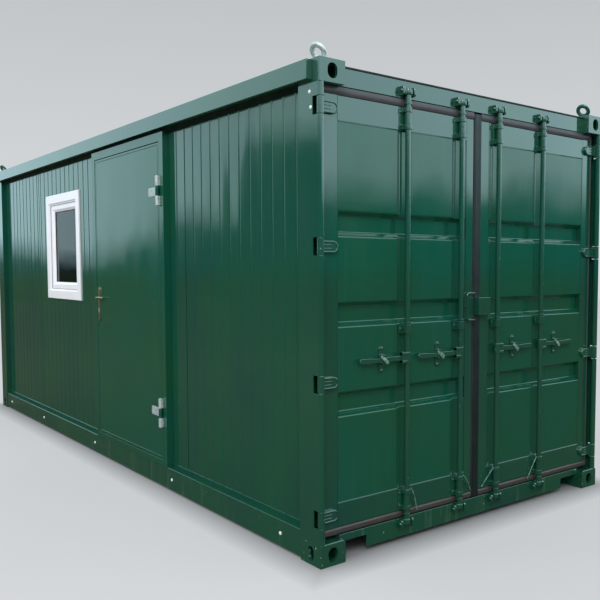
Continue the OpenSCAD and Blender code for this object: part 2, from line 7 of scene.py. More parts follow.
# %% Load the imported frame
import json
import math
import bmesh
import bpy
import numpy as np
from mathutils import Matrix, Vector

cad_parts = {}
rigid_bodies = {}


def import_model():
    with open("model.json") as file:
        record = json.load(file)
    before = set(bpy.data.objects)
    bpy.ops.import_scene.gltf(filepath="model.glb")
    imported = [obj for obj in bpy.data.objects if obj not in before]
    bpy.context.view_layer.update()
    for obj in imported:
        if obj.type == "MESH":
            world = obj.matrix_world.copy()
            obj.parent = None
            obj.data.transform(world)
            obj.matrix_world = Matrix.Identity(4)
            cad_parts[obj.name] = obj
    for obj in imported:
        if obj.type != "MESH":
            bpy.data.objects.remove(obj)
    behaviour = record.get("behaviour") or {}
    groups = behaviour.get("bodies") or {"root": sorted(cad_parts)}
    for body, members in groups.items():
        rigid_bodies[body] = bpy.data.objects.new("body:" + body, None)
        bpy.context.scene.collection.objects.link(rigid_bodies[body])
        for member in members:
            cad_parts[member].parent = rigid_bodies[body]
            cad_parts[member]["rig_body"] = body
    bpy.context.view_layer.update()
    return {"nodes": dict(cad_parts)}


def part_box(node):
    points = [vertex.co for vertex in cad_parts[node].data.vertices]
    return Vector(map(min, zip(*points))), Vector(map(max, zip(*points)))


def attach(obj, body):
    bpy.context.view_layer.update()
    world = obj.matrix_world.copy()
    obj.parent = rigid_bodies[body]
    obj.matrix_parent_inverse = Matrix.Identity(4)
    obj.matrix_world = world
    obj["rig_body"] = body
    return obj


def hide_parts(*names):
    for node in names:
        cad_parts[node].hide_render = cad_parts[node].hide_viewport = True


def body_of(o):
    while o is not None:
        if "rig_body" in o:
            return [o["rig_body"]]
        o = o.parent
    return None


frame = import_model()
SIDES = (("left", -1), ("right", 1))
scene = bpy.context.scene

# %% [markdown]
# ## Shapes as arrays
# A shape here is a pair: an array of points, and a list of faces. Most are a grid bent by a
# formula, or an outline carried along a path. Working on whole arrays keeps each formula to
# one line that can be read beside the drawing of the piece.

# %% Grids, outlines and paths
def grid(nu, nv, round_u=False, round_v=False):
    """Quads between nu by nv points; a round way joins its last row to its first."""
    i = np.arange(nu if round_u else nu - 1)[:, None]
    j = np.arange(nv if round_v else nv - 1)[None, :]
    a, b = (i + 1) % nu, (j + 1) % nv
    return np.stack([i * nv + j, a * nv + j, a * nv + b, i * nv + b], -1).reshape(-1, 4).tolist()

def join(*shapes):
    """Shapes put together: each face list is shifted past the points before it."""
    points, faces, start = [], [], 0
    for p, f in shapes:
        points.append(p)
        faces += [[k + start for k in face] for face in f]
        start += len(p)
    return np.concatenate(points), faces

def curve(*coordinates):
    """Points from an array, or one number, for each coordinate."""
    return np.stack(np.broadcast_arrays(*coordinates), -1)

def ends(rows, n):
    """The first and the last of a tube's rows of n points, as one face each."""
    return [list(range(n)), list(range((rows - 1) * n, rows * n))]

def rounded(w, h, r, n=4):
    """Rectangle w by h with corners of radius r: each corner is n + 1 points on its arc."""
    r = min(r, w / 2 - 1e-5, h / 2 - 1e-5)
    arcs = []
    for half_turns, sx, sy in ((0, 1, 1), (0.5, -1, 1), (1, -1, -1), (1.5, 1, -1)):
        t = np.linspace(0, math.pi / 2, n + 1) + half_turns * math.pi
        arcs.append(np.array([sx * (w / 2 - r), sy * (h / 2 - r)]) + r * curve(np.cos(t), np.sin(t)))
    return np.concatenate(arcs)

def circle(r, n=24):
    """Points at even angles on a circle."""
    t = np.arange(n) * 2 * math.pi / n
    return r * curve(np.cos(t), np.sin(t))

def domed_end(s, start, length, least):
    """A size that falls along a quarter circle from 1 at start; least is its square's floor."""
    return np.sqrt(np.clip(1 - np.clip((s - start) / length, 0, 1) ** 2, least, 1))

def carry(outline, path, up=(0, 0, 1), size=1.0, loop=False):
    """Outline carried along a path. At each point the side axis is the path's direction
    crossed with up; the outline's x goes along it and its y along the third axis, each times
    size, which may change along the path and differ between the two."""
    path = np.asarray(path, float)
    way = np.roll(path, -1, 0) - np.roll(path, 1, 0) if loop else np.gradient(path, axis=0)
    way /= np.linalg.norm(way, axis=1, keepdims=True)
    side = np.cross(way, np.asarray(up, float))
    side /= np.linalg.norm(side, axis=1, keepdims=True)
    top = np.cross(side, way)
    size = np.asarray(size, float)
    size = np.broadcast_to(size[:, None] if size.ndim == 1 else size, (len(path), 2))
    o = np.asarray(outline)[None] * size[:, None]
    points = (path[:, None] + side[:, None] * o[..., :1] + top[:, None] * o[..., 1:]).reshape(-1, 3)
    n, k = len(path), o.shape[1]
    faces = grid(n, k, round_u=loop, round_v=True)
    return points, faces if loop else faces + ends(n, k)

def turned(profile, centre, axis="z", n=24, flip=1):
    """A lathe: each (radius, height) of the profile becomes a ring round the axis."""
    p, t = np.asarray(profile, float), np.arange(n) * 2 * math.pi / n
    ring = curve(p[:, :1] * np.cos(t), p[:, :1] * np.sin(t), flip * p[:, 1:])
    ring = ring[..., {"z": [0, 1, 2], "x": [2, 0, 1], "y": [1, 2, 0]}[axis]]
    faces = grid(len(p), n, round_v=True) + ends(len(p), n)
    return ring.reshape(-1, 3) + np.asarray(centre, float), faces

def flat_piece(outline, x0, x1):
    """An outline in Y and Z made into a plate from x0 to x1."""
    n = len(outline)
    points = np.concatenate([curve(x, *np.transpose(outline)) for x in (x0, x1)])
    return points, grid(2, n, round_v=True) + ends(2, n)

def block(lo, hi):
    """The eight corners and six faces of a box from lo to hi."""
    c = [[x, y, z] for x in (lo[0], hi[0]) for y in (lo[1], hi[1]) for z in (lo[2], hi[2])]
    return np.array(c), [[0, 1, 3, 2], [4, 6, 7, 5], [0, 4, 5, 1], [2, 3, 7, 6], [0, 2, 6, 4], [1, 5, 7, 3]]

def mirrored(shape):
    """The same shape with x negated."""
    return shape[0] * (-1, 1, 1), shape[1]

def moved(shape, by):
    return shape[0] + np.asarray(by, float), shape[1]

# %% [markdown]
# ## Sheets with a relief
# Wall panels, door skins, roof and linings are all thin or thick plates whose front face has
# ribs or pressings. One function makes them: the front and the back are two height fields on
# the same grid, cells in an opening are left out, and a rim closes every free edge.

# %% A plate from two height fields
def plate(u, v, front, back, axes, hole=None):
    """Points (u, v, height) for front and back; axes says which of X, Y, Z each goes to.
    Returns the front with the rim, and the back by itself for another finish."""
    nu, nv = len(u), len(v)
    uu, vv = np.meshgrid(u, v, indexing="ij")
    both = np.stack([np.stack([uu, vv, h + 0 * uu], -1).reshape(-1, 3) for h in (front, back)])
    points = both.reshape(-1, 3)[:, np.argsort(axes)]
    keep = np.ones((nu - 1, nv - 1), bool)
    if hole is not None:
        um, vm = (u[1:] + u[:-1]) / 2, (v[1:] + v[:-1]) / 2
        in_u, in_v = (um > hole[0]) & (um < hole[1]), (vm > hole[2]) & (vm < hole[3])
        keep &= ~(in_u[:, None] & in_v[None])
    cells = np.array(grid(nu, nv)).reshape(nu - 1, nv - 1, 4)
    top = cells[keep].tolist()
    low = (cells[keep][:, ::-1] + nu * nv).tolist()
    pad = np.pad(keep, 1)
    rim = []
    for du, dv, a, b in ((-1, 0, 3, 0), (1, 0, 1, 2), (0, -1, 0, 1), (0, 1, 2, 3)):
        edge = keep & ~pad[1 + du:nu + du, 1 + dv:nv + dv]
        e = cells[edge]
        rim += np.stack([e[:, b], e[:, a], e[:, a] + nu * nv, e[:, b] + nu * nv], -1).tolist()
    return (points, top + rim), (points, low)

def steps(lo, hi, *marks, gap=0.25):
    """Places from lo to hi at most gap apart that include every mark."""
    marks = sorted({round(float(m), 6) for m in (lo, hi, *marks) if lo <= m <= hi})
    return np.concatenate([np.linspace(a, b, max(1, math.ceil((b - a) / gap)) + 1)[:-1]
                           for a, b in zip(marks, marks[1:])] + [[marks[-1]]])

BEND = 0.16

def trough(x, centres, flat, slope):
    """Depth from 0 to 1 beside each centre: 1 over the flat, 0 beyond a straight slope. Both
    bends of the slope are rounded: the depth is the straight one's mean over BEND either way."""
    d = np.abs(x[..., None] - np.asarray(centres)).min(-1)
    t = (flat / 2 + slope - d) / slope
    whole = lambda q: np.where(q < 0, 0, np.where(q > 1, q - 0.5, q * q / 2))
    return (whole(t + BEND) - whole(t - BEND)) / (2 * BEND)

def bends(centres, flat, slope):
    """The places where a trough's bends start, turn and end, and a place just outside."""
    t = np.array([-3 * BEND, -BEND, -BEND / 2, 0, BEND / 2, BEND,
                  1 - BEND, 1 - BEND / 2, 1, 1 + BEND / 2, 1 + BEND])
    d = flat / 2 + slope - t * slope
    d = d[d >= 0]
    return np.add.outer(np.asarray(centres), np.concatenate([-d, d])).ravel()

# %% [markdown]
# ## From shapes to pieces
# A piece is one mesh that rides on a CAD body. Its doubles are merged and its normals made
# to point outwards, then a Bevel modifier rounds the sharp edges, as a press, a casting mould
# and a coat of paint do. Rounded edges catch the light, and that is what makes steel look real.

# %% Make a piece, and copy a CAD node with softened edges
def placed(name, data):
    """A new object of this data, linked into the scene."""
    o = bpy.data.objects.new(name, data)
    scene.collection.objects.link(o)
    return o

def add(name, mesh, body, bevel, stands_for, segments=2, angle=35):
    mesh.polygons.foreach_set("use_smooth", [True] * len(mesh.polygons))
    mesh.set_sharp_from_angle(angle=math.radians(angle))
    o = placed(name, mesh)
    if bevel:
        m = o.modifiers.new("edges", "BEVEL")
        m.width, m.segments, m.limit_method = bevel, segments, "ANGLE"
        m.angle_limit, m.use_clamp_overlap = math.radians(angle), True
    flats = o.modifiers.new("flat faces stay flat", "WEIGHTED_NORMAL")
    flats.keep_sharp = True
    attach(o, body)
    if stands_for:
        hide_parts(*([stands_for] if isinstance(stands_for, str) else stands_for))
    return o

def piece(name, body, parts, bevel=0.0, stands_for=None, segments=2, angle=35):
    """parts is a list of (material, shape, shape, ...)."""
    shapes, marks, materials = [], [], []
    for material, *group in parts:
        if material not in materials:
            materials.append(material)
        for shape in group:
            shapes.append(shape)
            marks += [materials.index(material)] * len(shape[1])
    points, faces = join(*shapes)
    mesh = bpy.data.meshes.new(name)
    mesh.from_pydata(points.tolist(), [], faces)
    mesh.polygons.foreach_set("material_index", marks)
    for material in materials:
        mesh.materials.append(material)
    bm = bmesh.new()
    bm.from_mesh(mesh)
    bmesh.ops.remove_doubles(bm, verts=bm.verts, dist=2e-6)
    bmesh.ops.recalc_face_normals(bm, faces=bm.faces)
    bm.to_mesh(mesh)
    bm.free()
    return add(name, mesh, body, bevel, stands_for, segments, angle)

def softened(node, material, radius, segments=2, name=None):
    """A merged copy of a CAD node: flat faces again, with its sharp edges rounded."""
    bm = bmesh.new()
    bm.from_mesh(frame["nodes"][node].data)
    bmesh.ops.remove_doubles(bm, verts=bm.verts, dist=2e-6)
    bmesh.ops.dissolve_limit(bm, angle_limit=math.radians(0.6), verts=bm.verts, edges=bm.edges)
    mesh = bpy.data.meshes.new(name or node + "_finished")
    bm.to_mesh(mesh)
    bm.free()
    mesh.materials.clear()
    mesh.materials.append(material)
    body = body_of(frame["nodes"][node])
    return add(mesh.name, mesh, body if isinstance(body, str) else body[0], radius, node, segments)

# %% [markdown]
# ## Materials
# Each material starts from what the real one is. The steel is sprayed with gloss green
# enamel, so it is a dark base under a clear mirror coat. A mirror needs something to bend:
# the thin wall sheets and doors are never quite flat, so a slow bump makes what they mirror
# waver, and a finer one gives the orange peel of sprayed paint.

# %% Colours from sRGB, and one function that adds a node
def srgb(code):
    """Hex to linear: each channel as a share of 255 with the sRGB curve undone."""
    c = np.array([int(code[i:i + 2], 16) for i in (1, 3, 5)]) / 255
    return (*np.where(c <= 0.04045, c / 12.92, ((c + 0.055) / 1.055) ** 2.4).tolist(), 1.0)

def node(tree, kind, sockets=(), **settings):
    """Adds a node. settings are its attributes; sockets maps an input to a value or to the
    output that feeds it."""
    n = tree.nodes.new("ShaderNode" + kind)
    for key, value in settings.items():
        setattr(n, key, value)
    for key, value in dict(sockets).items():
        if isinstance(value, bpy.types.NodeSocket):
            tree.links.new(value, n.inputs[key])
        else:
            n.inputs[key].default_value = value
    return n

def new_material(name, **fixed):
    """A material with its Principled shader; fixed sets sockets that are the same all over."""
    m = bpy.data.materials.new(name)
    m.use_nodes = True
    shader = m.node_tree.nodes["Principled BSDF"]
    for key, value in fixed.items():
        shader.inputs[key.replace("_", " ")].default_value = value
    return m, m.node_tree, shader

def feed(shader, **outputs):
    """Links each output to the shader's input of that name."""
    for key, value in outputs.items():
        shader.id_data.links.new(value, shader.inputs[key.replace("_", " ")])

def maths(tree, kind, a, b=0.0):
    return node(tree, "Math", {0: a, 1: b}, operation=kind).outputs[0]

EVEN = (1, 1, 1)

def place(tree):
    """The object's own coordinates, in metres."""
    return node(tree, "TexCoord").outputs["Object"]

def pattern(tree, scale, stretch=EVEN, detail=2.0):
    """Noise in object space. scale is in waves per metre and stretch per axis."""
    at = node(tree, "Mapping", {"Vector": place(tree), "Scale": stretch}).outputs[0]
    return node(tree, "TexNoise", {"Vector": at, "Scale": scale, "Detail": detail}).outputs["Fac"]

def spread(tree, value, lo, hi, out_lo=0.0, out_hi=1.0):
    """Stretches a value from lo..hi to out_lo..out_hi and holds it there."""
    return node(tree, "MapRange", {"Value": value, "From Min": lo, "From Max": hi,
                                   "To Min": out_lo, "To Max": out_hi}).outputs[0]

def patches(tree, scale, stretch=EVEN, detail=2.0, out=(0.0, 1.0)):
    """Soft patches: the middle of a noise's range stretched over out."""
    return spread(tree, pattern(tree, scale, stretch, detail), 0.3, 0.7, *out)

def cells(tree, scale):
    """One value from 0 to 1 for each crystal or chip, about scale of them a metre."""
    colour = node(tree, "TexVoronoi", {"Vector": place(tree), "Scale": scale}).outputs["Color"]
    return node(tree, "SeparateColor", {"Color": colour}).outputs[0]

def mixed(tree, share, a, b):
    """Colour a turning into colour b by a share from 0 to 1."""
    return node(tree, "Mix", {0: share, 6: a, 7: b}, data_type="RGBA").outputs[2]

def bumped(tree, height, distance, under=None):
    """Bump of a height whose full range is distance, on top of another bump."""
    sockets = {"Height": height, "Distance": distance, "Strength": 1.0}
    if under is not None:
        sockets["Normal"] = under
    return node(tree, "Bump", sockets).outputs[0]

# %% Gloss green enamel, in several states
def enamel(name, wave, wave_stretch, wave_m, streaks=0.0, chips=0.0, gloss=0.07, tint="#12453a",
           coat=1.0, peel_m=0.00006):
    """Sprayed alkyd enamel. wave is how far the sheet is from flat in waves per metre;
    streaks are rain marks down the face, chips are paint knocked off to the primer, coat is
    how much of the gloss is left and peel_m is the depth of the orange peel."""
    m, t, s = new_material(name, Coat_Weight=coat, Coat_Roughness=0.03, Specular_IOR_Level=0.75 * coat)
    colour = mixed(t, patches(t, 1.7, detail=4.0), srgb(tint), srgb("#164e36"))
    rough = spread(t, pattern(t, 6.0, (1, 1, 0.3), 5.0), 0.25, 0.75, gloss, gloss + 0.1)
    if streaks:
        run = spread(t, pattern(t, 26.0, (1, 1, 0.07), 3.0), 0.56, 0.74, 0.0, streaks)
        colour = mixed(t, run, colour, srgb("#5b7a62"))
    if chips:
        bare = spread(t, pattern(t, 46.0, detail=6.0), 0.745 - 0.06 * chips, 0.76 - 0.06 * chips)
        colour = mixed(t, bare, colour, srgb("#a59a78"))
        rough = maths(t, "MAXIMUM", rough, bare)
    flatness = bumped(t, pattern(t, wave, wave_stretch, 1.0), wave_m)
    peel = bumped(t, pattern(t, 110.0, detail=1.0), peel_m, flatness)
    feed(s, Base_Color=colour, Roughness=rough, Normal=peel, Coat_Normal=flatness)
    return m

frame_enamel = enamel("gloss_enamel_on_rolled_steel", 3.0, EVEN, 0.0012)
sill_enamel = enamel("gloss_enamel_weathered_low_down", 4.0, EVEN, 0.002, streaks=0.32, chips=0.3)
cast_enamel = enamel("gloss_enamel_on_cast_steel", 28.0, EVEN, 0.001, chips=0.2, gloss=0.16)
SMOOTH_PEEL = 0.000015
panel_enamel = enamel("polyester_coil_coat_on_wall_sheet", 1.0, (1, 5, 0.6), 0.0022, coat=0.8,
                      peel_m=SMOOTH_PEEL)
door_enamel = enamel("gloss_enamel_on_pressed_sheet", 2.2, (1, 1, 0.7), 0.003, streaks=0.05,
                     tint="#0f5040", coat=0.62, peel_m=SMOOTH_PEEL)
knocked_enamel = enamel("gloss_enamel_knocked_on_casting", 28.0, EVEN, 0.001, chips=0.9, gloss=0.16)
ledge_enamel = enamel("enamel_dulled_by_dust_on_ledges", 3.0, EVEN, 0.001, gloss=0.5, coat=0.08)
forged_enamel = enamel("gloss_enamel_on_forged_gear", 60.0, EVEN, 0.0004, chips=0.25, gloss=0.14)
print("enamels", [m.name for m in bpy.data.materials if "enamel" in m.name or "coat" in m.name])

# %% Zinc, aluminium and other metals
def zinc_coat():
    """Hot dip galvanised steel: crystals of zinc about 12 mm across, each its own grey."""
    m, t, s = new_material("hot_dip_galvanised_steel", Metallic=0.6)
    grey = cells(t, 80.0)
    feed(s, Base_Color=mixed(t, grey, srgb("#c0cacb"), srgb("#dde5e5")),
         Roughness=spread(t, grey, 0, 1, 0.42, 0.58),
         Normal=bumped(t, pattern(t, 90.0, detail=4.0), 0.0006))
    return m

def anodised_bronze():
    """Champagne anodised aluminium, brushed along its length before it was dyed."""
    m, t, s = new_material("brushed_anodised_aluminium", Metallic=1.0)
    lines = pattern(t, 300.0, (1, 1, 0.05), 2.0)
    feed(s, Base_Color=mixed(t, lines, srgb("#a8977a"), srgb("#cabb9d")),
         Roughness=spread(t, lines, 0.3, 0.7, 0.26, 0.4))
    return m

def zinc_and_green_catch():
    """Zinc plated spring steel in random patches of pale zinc grey and dark green."""
    m, t, s = new_material("zinc_plated_steel_in_green_patches", Roughness=0.42)
    # Share of dark green in each random patch; the rest is pale zinc.
    left = spread(t, pattern(t, 90.0, detail=4.0), 0.42, 0.58)
    feed(s, Base_Color=mixed(t, left, srgb("#93b5aa"), srgb("#2f6352")),
         Metallic=spread(t, left, 0, 1, 0.5, 0.0),
         Normal=bumped(t, pattern(t, 140.0, detail=3.0), 0.0005))
    return m

zinc, zinc_and_green_patches = zinc_coat(), zinc_and_green_catch()
bronze = anodised_bronze()

# %% Rubber, window plastic, boards and glass
def moulded(name, colours, rough, grain, depth, **fixed):
    """A plastic, rubber or board: two near colours in soft patches and a fine grain."""
    m, t, s = new_material(name, **fixed)
    feed(s, Base_Color=mixed(t, patches(t, 5.0, detail=5.0), srgb(colours[0]), srgb(colours[1])),
         Roughness=patches(t, 20.0, detail=3.0, out=rough),
         Normal=bumped(t, pattern(t, grain, detail=3.0), depth))
    return m

def door_rubber():
    """Extruded EPDM, grey with bloom: road dust has browned what lies below knee height."""
    m, t, s = new_material("extruded_epdm_rubber")
    height = node(t, "SeparateXYZ", {"Vector": place(t)}).outputs[2]
    clean = mixed(t, patches(t, 5.0, detail=5.0), srgb("#403f43"), srgb("#4d4b50"))
    uneven = spread(t, pattern(t, 30.0), 0.3, 0.6, 0.5, 0.95)
    dust = maths(t, "MULTIPLY", spread(t, height, 0.5, 0.12), uneven)
    feed(s, Base_Color=mixed(t, dust, clean, srgb("#3f3733")),
         Roughness=patches(t, 20.0, detail=3.0, out=(0.3, 0.42)),
         Normal=bumped(t, pattern(t, 180.0, detail=3.0), 0.00012))
    return m

rubber = door_rubber()
strip_rubber = moulded("dark_epdm_centre_strip", ("#12191b", "#192123"), (0.3, 0.42), 180.0, 0.00012)
upvc = moulded("white_upvc_extrusion", ("#f5f6fe", "#fafbff"), (0.35, 0.42), 30.0, 0.000008,
               Coat_Weight=0.6, Coat_Roughness=0.12)
lining = moulded("white_coated_lining_board", ("#dcdcd6", "#e4e4df"), (0.45, 0.6), 120.0, 0.0003)
tray_steel = moulded("zinc_coated_tray_sheet", ("#777e82", "#899094"), (0.4, 0.6), 40.0, 0.0006,
                     Metallic=0.6)
# Black for the window's glazing gaskets and the strips on the header and eaves; the same black is also
# painted shade inside each keyway slot.
black_strips_and_keyway_shade = moulded("black_strips_and_painted_keyway_shade", ("#0c1411", "#161d1a"), (0.5, 0.7), 150.0, 0.0006)
grey_gasket = moulded("grey_window_gasket", ("#9a9ca6", "#a6a8b0"), (0.5, 0.6), 200.0, 0.00005)
white_cap = moulded("white_nylon_screw_cap", ("#dfe2e4", "#eff1f2"), (0.3, 0.4), 200.0, 0.0001)

def floor_vinyl():
    """Welded safety vinyl: a brown grey ground with quartz chips 2 to 4 mm across."""
    m, t, s = new_material("speckled_safety_vinyl", Roughness=0.45)
    chip = spread(t, cells(t, 260.0), 0.8, 0.86)
    ground = mixed(t, patches(t, 3.0, detail=4.0), srgb("#85755f"), srgb("#93826b"))
    feed(s, Base_Color=mixed(t, chip, ground, srgb("#b7ab95")))
    return m

def clear_glass():
    """Float glass 4 mm thick, too thin to bend a view: clear, with a mirror that grows
    towards the edge of sight as Fresnel's law says."""
    m, t, s = new_material("clear_float_glass")
    t.nodes.remove(s)
    seen = node(t, "BsdfTransparent", {"Color": srgb("#e9f2ef")})
    shine = node(t, "BsdfGlossy", {"Roughness": 0.01, "Color": srgb("#ffffff")})
    share = node(t, "Fresnel", {"IOR": 1.5})
    both = node(t, "MixShader", {0: share.outputs[0], 1: seen.outputs[0], 2: shine.outputs[0]})
    feed(t.nodes["Material Output"], Surface=both.outputs[0])
    return m

vinyl, glass = floor_vinyl(), clear_glass()

# %% [markdown]
# ## The frame
# Posts, sills, headers and roof edges are rolled plate, and the corner castings are cast
# steel. Their CAD shapes are right already, so each becomes a copy with rounded edges: 3 mm
# or more on a casting, 1 to 2 mm on plate.

# %% Castings, posts, sills and headers
for node_name, paint in (("bottom_castings", knocked_enamel), ("top_castings", cast_enamel)):
    softened(node_name, paint, 0.004, 3)
for node_name in ("front_corner_posts", "rear_corner_posts", "end_headers", "roof_fascias"):
    softened(node_name, frame_enamel, 0.0015)
for node_name in ("side_sills", "end_sills"):
    softened(node_name, sill_enamel, 0.0015)
softened("hinge_pins", zinc, 0.001)

W, L = -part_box("bottom_castings")[0][0], -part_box("bottom_castings")[0][1]
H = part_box("top_castings")[1][2]
print("half width, half length, height", round(W, 4), round(L, 4), round(H, 4))

# %% [markdown]
# ## Ribbed wall panels
# The side walls are insulated panels. Each has a thin steel face rolled with shallow troughs
# 117.6 mm apart, and a dark joint where two panels meet. The front height field is the sum of
# the troughs and the joints; the back is flat and is the white lining of the room.

# %% Wall panels
PITCH = 0.1176
RIB, JOINT = (0.004, 0.0065), (0.007, 0.0025)   # flat and slope of each trough

def wall_sheet(name, cad, across, outward, joints, first, hole=None):
    """Depth at u is 2.5 mm times a trough every PITCH plus 9 mm in each joint. across is the
    axis the ribs follow each other along, and outward is the side the face looks to."""
    lo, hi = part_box(cad)
    deep = 1 - across
    start = lo[across] + 0.03
    ribs = np.arange(start - ((start - first) % -PITCH), hi[across] - 0.025, PITCH)
    ribs = ribs[np.abs(ribs[:, None] - np.array(joints)[None]).min(1) > 0.03]
    u = steps(lo[across], hi[across], *bends(ribs, *RIB), *bends(joints, *JOINT),
              *(hole[:2] if hole else ()), gap=0.2)
    v = steps(lo[2], hi[2], *(hole[2:] if hole else ()), gap=0.3)
    depth = 0.0025 * trough(u, ribs, *RIB) + 0.009 * trough(u, joints, *JOINT)
    face, back = (lo, hi) if outward < 0 else (hi, lo)
    front = face[deep] - outward * depth[:, None] + 0 * v
    outer, inner = plate(u, v, front, np.full_like(front, back[deep]), (across, 2, deep), hole)
    piece(name, "cabin", [(panel_enamel, outer), (lining, inner)], stands_for=cad)
    return len(ribs)

window_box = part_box("window_frame")
opening = (window_box[0][1], window_box[1][1], window_box[0][2], window_box[1][2])
near_joint, far_joint = 1.564 - L, 4.698 - L
walls = (("ribbed_panel_by_side_door", "wall_beside_side_door", 1, -1, [near_joint], near_joint),
         ("ribbed_panel_with_window", "wall_with_window", 1, -1, [far_joint], far_joint + PITCH / 2, opening),
         ("ribbed_panels_on_blank_side", "blank_side_wall", 1, 1, [near_joint, 0.0, far_joint], near_joint),
         ("ribbed_panel_on_far_end", "rear_wall", 0, 1, [0.0], 0.0))
print("ribs", *[wall_sheet(*wall) for wall in walls])

# %% [markdown]
# ## Roof, ceiling and floor
# The roof is a sheet with low ribs across the cabin, so that rain runs off to both sides.
# Inside, the ceiling is white boards with a V joint between them, over a vinyl floor with
# welded seams. They are the same kind of plate with other marks.

# %% Roof sheet, ceiling boards, floor
def flat_plate(name, cad, seams, width, depth, front, back, up=1):
    """A level plate with grooves across it: depth under each seam, over its width."""
    lo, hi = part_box(cad)
    groove = (width * 0.4, width * 0.3)
    u, v = steps(lo[1], hi[1], *bends(seams, *groove), gap=0.5), steps(lo[0], hi[0], gap=0.6)
    face, other = (hi, lo) if up > 0 else (lo, hi)
    fall = depth * trough(u, seams, *groove)
    field = face[2] - up * fall[:, None] + 0 * v
    top, low = plate(u, v, field, np.full_like(field, other[2]), (1, 0, 2))
    piece(name, "cabin", [(front, top), (back, low)], stands_for=cad)

roof_seams = np.arange(-2.75, 2.8, 0.25)
flat_plate("ribbed_roof_sheet", "roof", roof_seams, 0.2, 0.022, panel_enamel, lining)
flat_plate("ceiling_boards", "ceiling", np.arange(-2.4, 2.9, 1.2), 0.008, 0.003,
           lining, lining, -1)
flat_plate("vinyl_floor", "floor_deck", np.arange(-2.0, 2.9, 2.0), 0.006, 0.001, vinyl, vinyl)
flat_plate("insulated_floor_tray", "floor_tray", np.arange(-2.7, 2.8, 0.3), 0.06, 0.012,
           tray_steel, tray_steel, -1)

# %% [markdown]
# ## Cargo door leaves
# A leaf is a frame of square tubes with a pressed sheet welded into it. The sheet has three
# level bands that stiffen it, and a shallower upright channel behind each locking bar. Its
# height field is the deeper of the band's and the channel's trough at every point, so that
# they run into each other as one pressing does and the bands cross the channels.

# %% Leaf frames and pressed sheets
BAR_XS = (0.597, 0.165)
CHANNEL, BAND = (0.056, 0.024), (0.084, 0.024)   # flat and slope of each trough
CHANNEL_DEPTH, BAND_DEPTH, BAND_STEP = 0.010, 0.036, 0.474

def leaf(side, sign):
    body = side + "_cargo_door"
    lo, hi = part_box(side + "_cargo_leaf")
    free, hinge = (hi[0], lo[0]) if sign < 0 else (lo[0], hi[0])
    stile, inner, rail, y = 0.090, sign * 0.101, 0.130, lo[1]
    z0, z1 = lo[2] + rail, hi[2] - rail
    x0, x1 = sorted((hinge - sign * stile, inner))
    mid_y, thick = (lo[1] + hi[1]) / 2, hi[1] - lo[1]
    tubes = []
    for a, b in ((hinge, hinge - sign * stile), (inner, free)):
        upright = [((a + b) / 2, mid_y, z) for z in (lo[2], hi[2])]
        tubes.append(carry(rounded(abs(a - b), thick, 0.004), upright, up=(0, 1, 0)))
    for z in (lo[2] + rail / 2, hi[2] - rail / 2):
        tubes.append(carry(rounded(thick, rail, 0.004), [(x, mid_y, z) for x in (x0, x1)]))
    piece(side + "_leaf_tube_frame", body, [(frame_enamel, *tubes)],
          bevel=0.001, stands_for=side + "_cargo_leaf")
    mid = (z0 + z1) / 2
    bands, bars = [mid - BAND_STEP, mid, mid + BAND_STEP], [sign * x for x in BAR_XS]
    u = steps(x0, x1, *bends(bars, *CHANNEL), gap=0.06)
    v = steps(z0, z1, *bends(bands, *BAND), gap=0.08)
    press = np.maximum(CHANNEL_DEPTH * trough(u, bars, *CHANNEL)[:, None],
                       BAND_DEPTH * trough(v, bands, *BAND)[None])
    front, back = plate(u, v, y + 0.002 + press, y + 0.005 + press, (0, 2, 1))
    piece(side + "_leaf_pressed_sheet", body, [(door_enamel, front, back)], angle=60)
    weld = circle(0.0022, 6)
    beads = [carry(weld, [(x, y + 0.0015, z) for x in (x0, x1)]) for z in (z0, z1)]
    beads += [carry(weld, [(x, y + 0.0015, z) for z in (z0, z1)], up=(0, 1, 0)) for x in (x0, x1)]
    piece(side + "_leaf_weld_beads", body, [(frame_enamel, *beads)])
    return round(float(press.max()), 4)

print("press depth", *[leaf(side, sign) for side, sign in SIDES])

# %% [markdown]
# ## Rubber door seals
# A cargo door seal is an extruded rubber tube with a fin, cut and welded at the corners. It
# runs round the leaf and fills the gap to the frame. Each run is its outline carried along
# a straight path.

# %% Seals
def seal_run(a, b, up, w, h, r=0.0145):
    """A hollow looking bulb: a rounded outline with a shallow waist where the fin starts."""
    o = rounded(w, h, r, 6)
    waist = 1 - 0.1 * np.exp(-((o[:, :1] / 0.004) ** 2))
    return carry(np.concatenate([o[:, :1], o[:, 1:] * waist], 1), [a, b], up=up)

def top_seal(a, b, w, h):
    """The bulb pressed against the header: square above, and its front swept back by 6 mm
    times the square of the way down from its middle."""
    o = rounded(w, h, 0.005, 4)
    o = np.concatenate([np.linspace(p, q, 6)[:-1] for p, q in zip(o, np.roll(o, -1, 0))])
    down, above = np.clip(-2 * o[:, 1] / h, 0, 1), np.clip(2 * o[:, 1] / h, 0, 1)
    o[:, 0] -= np.where(o[:, 0] > 0, 0.006 * down ** 2 + 0.0015 * above ** 2, 0)
    return carry(o, [a, b])

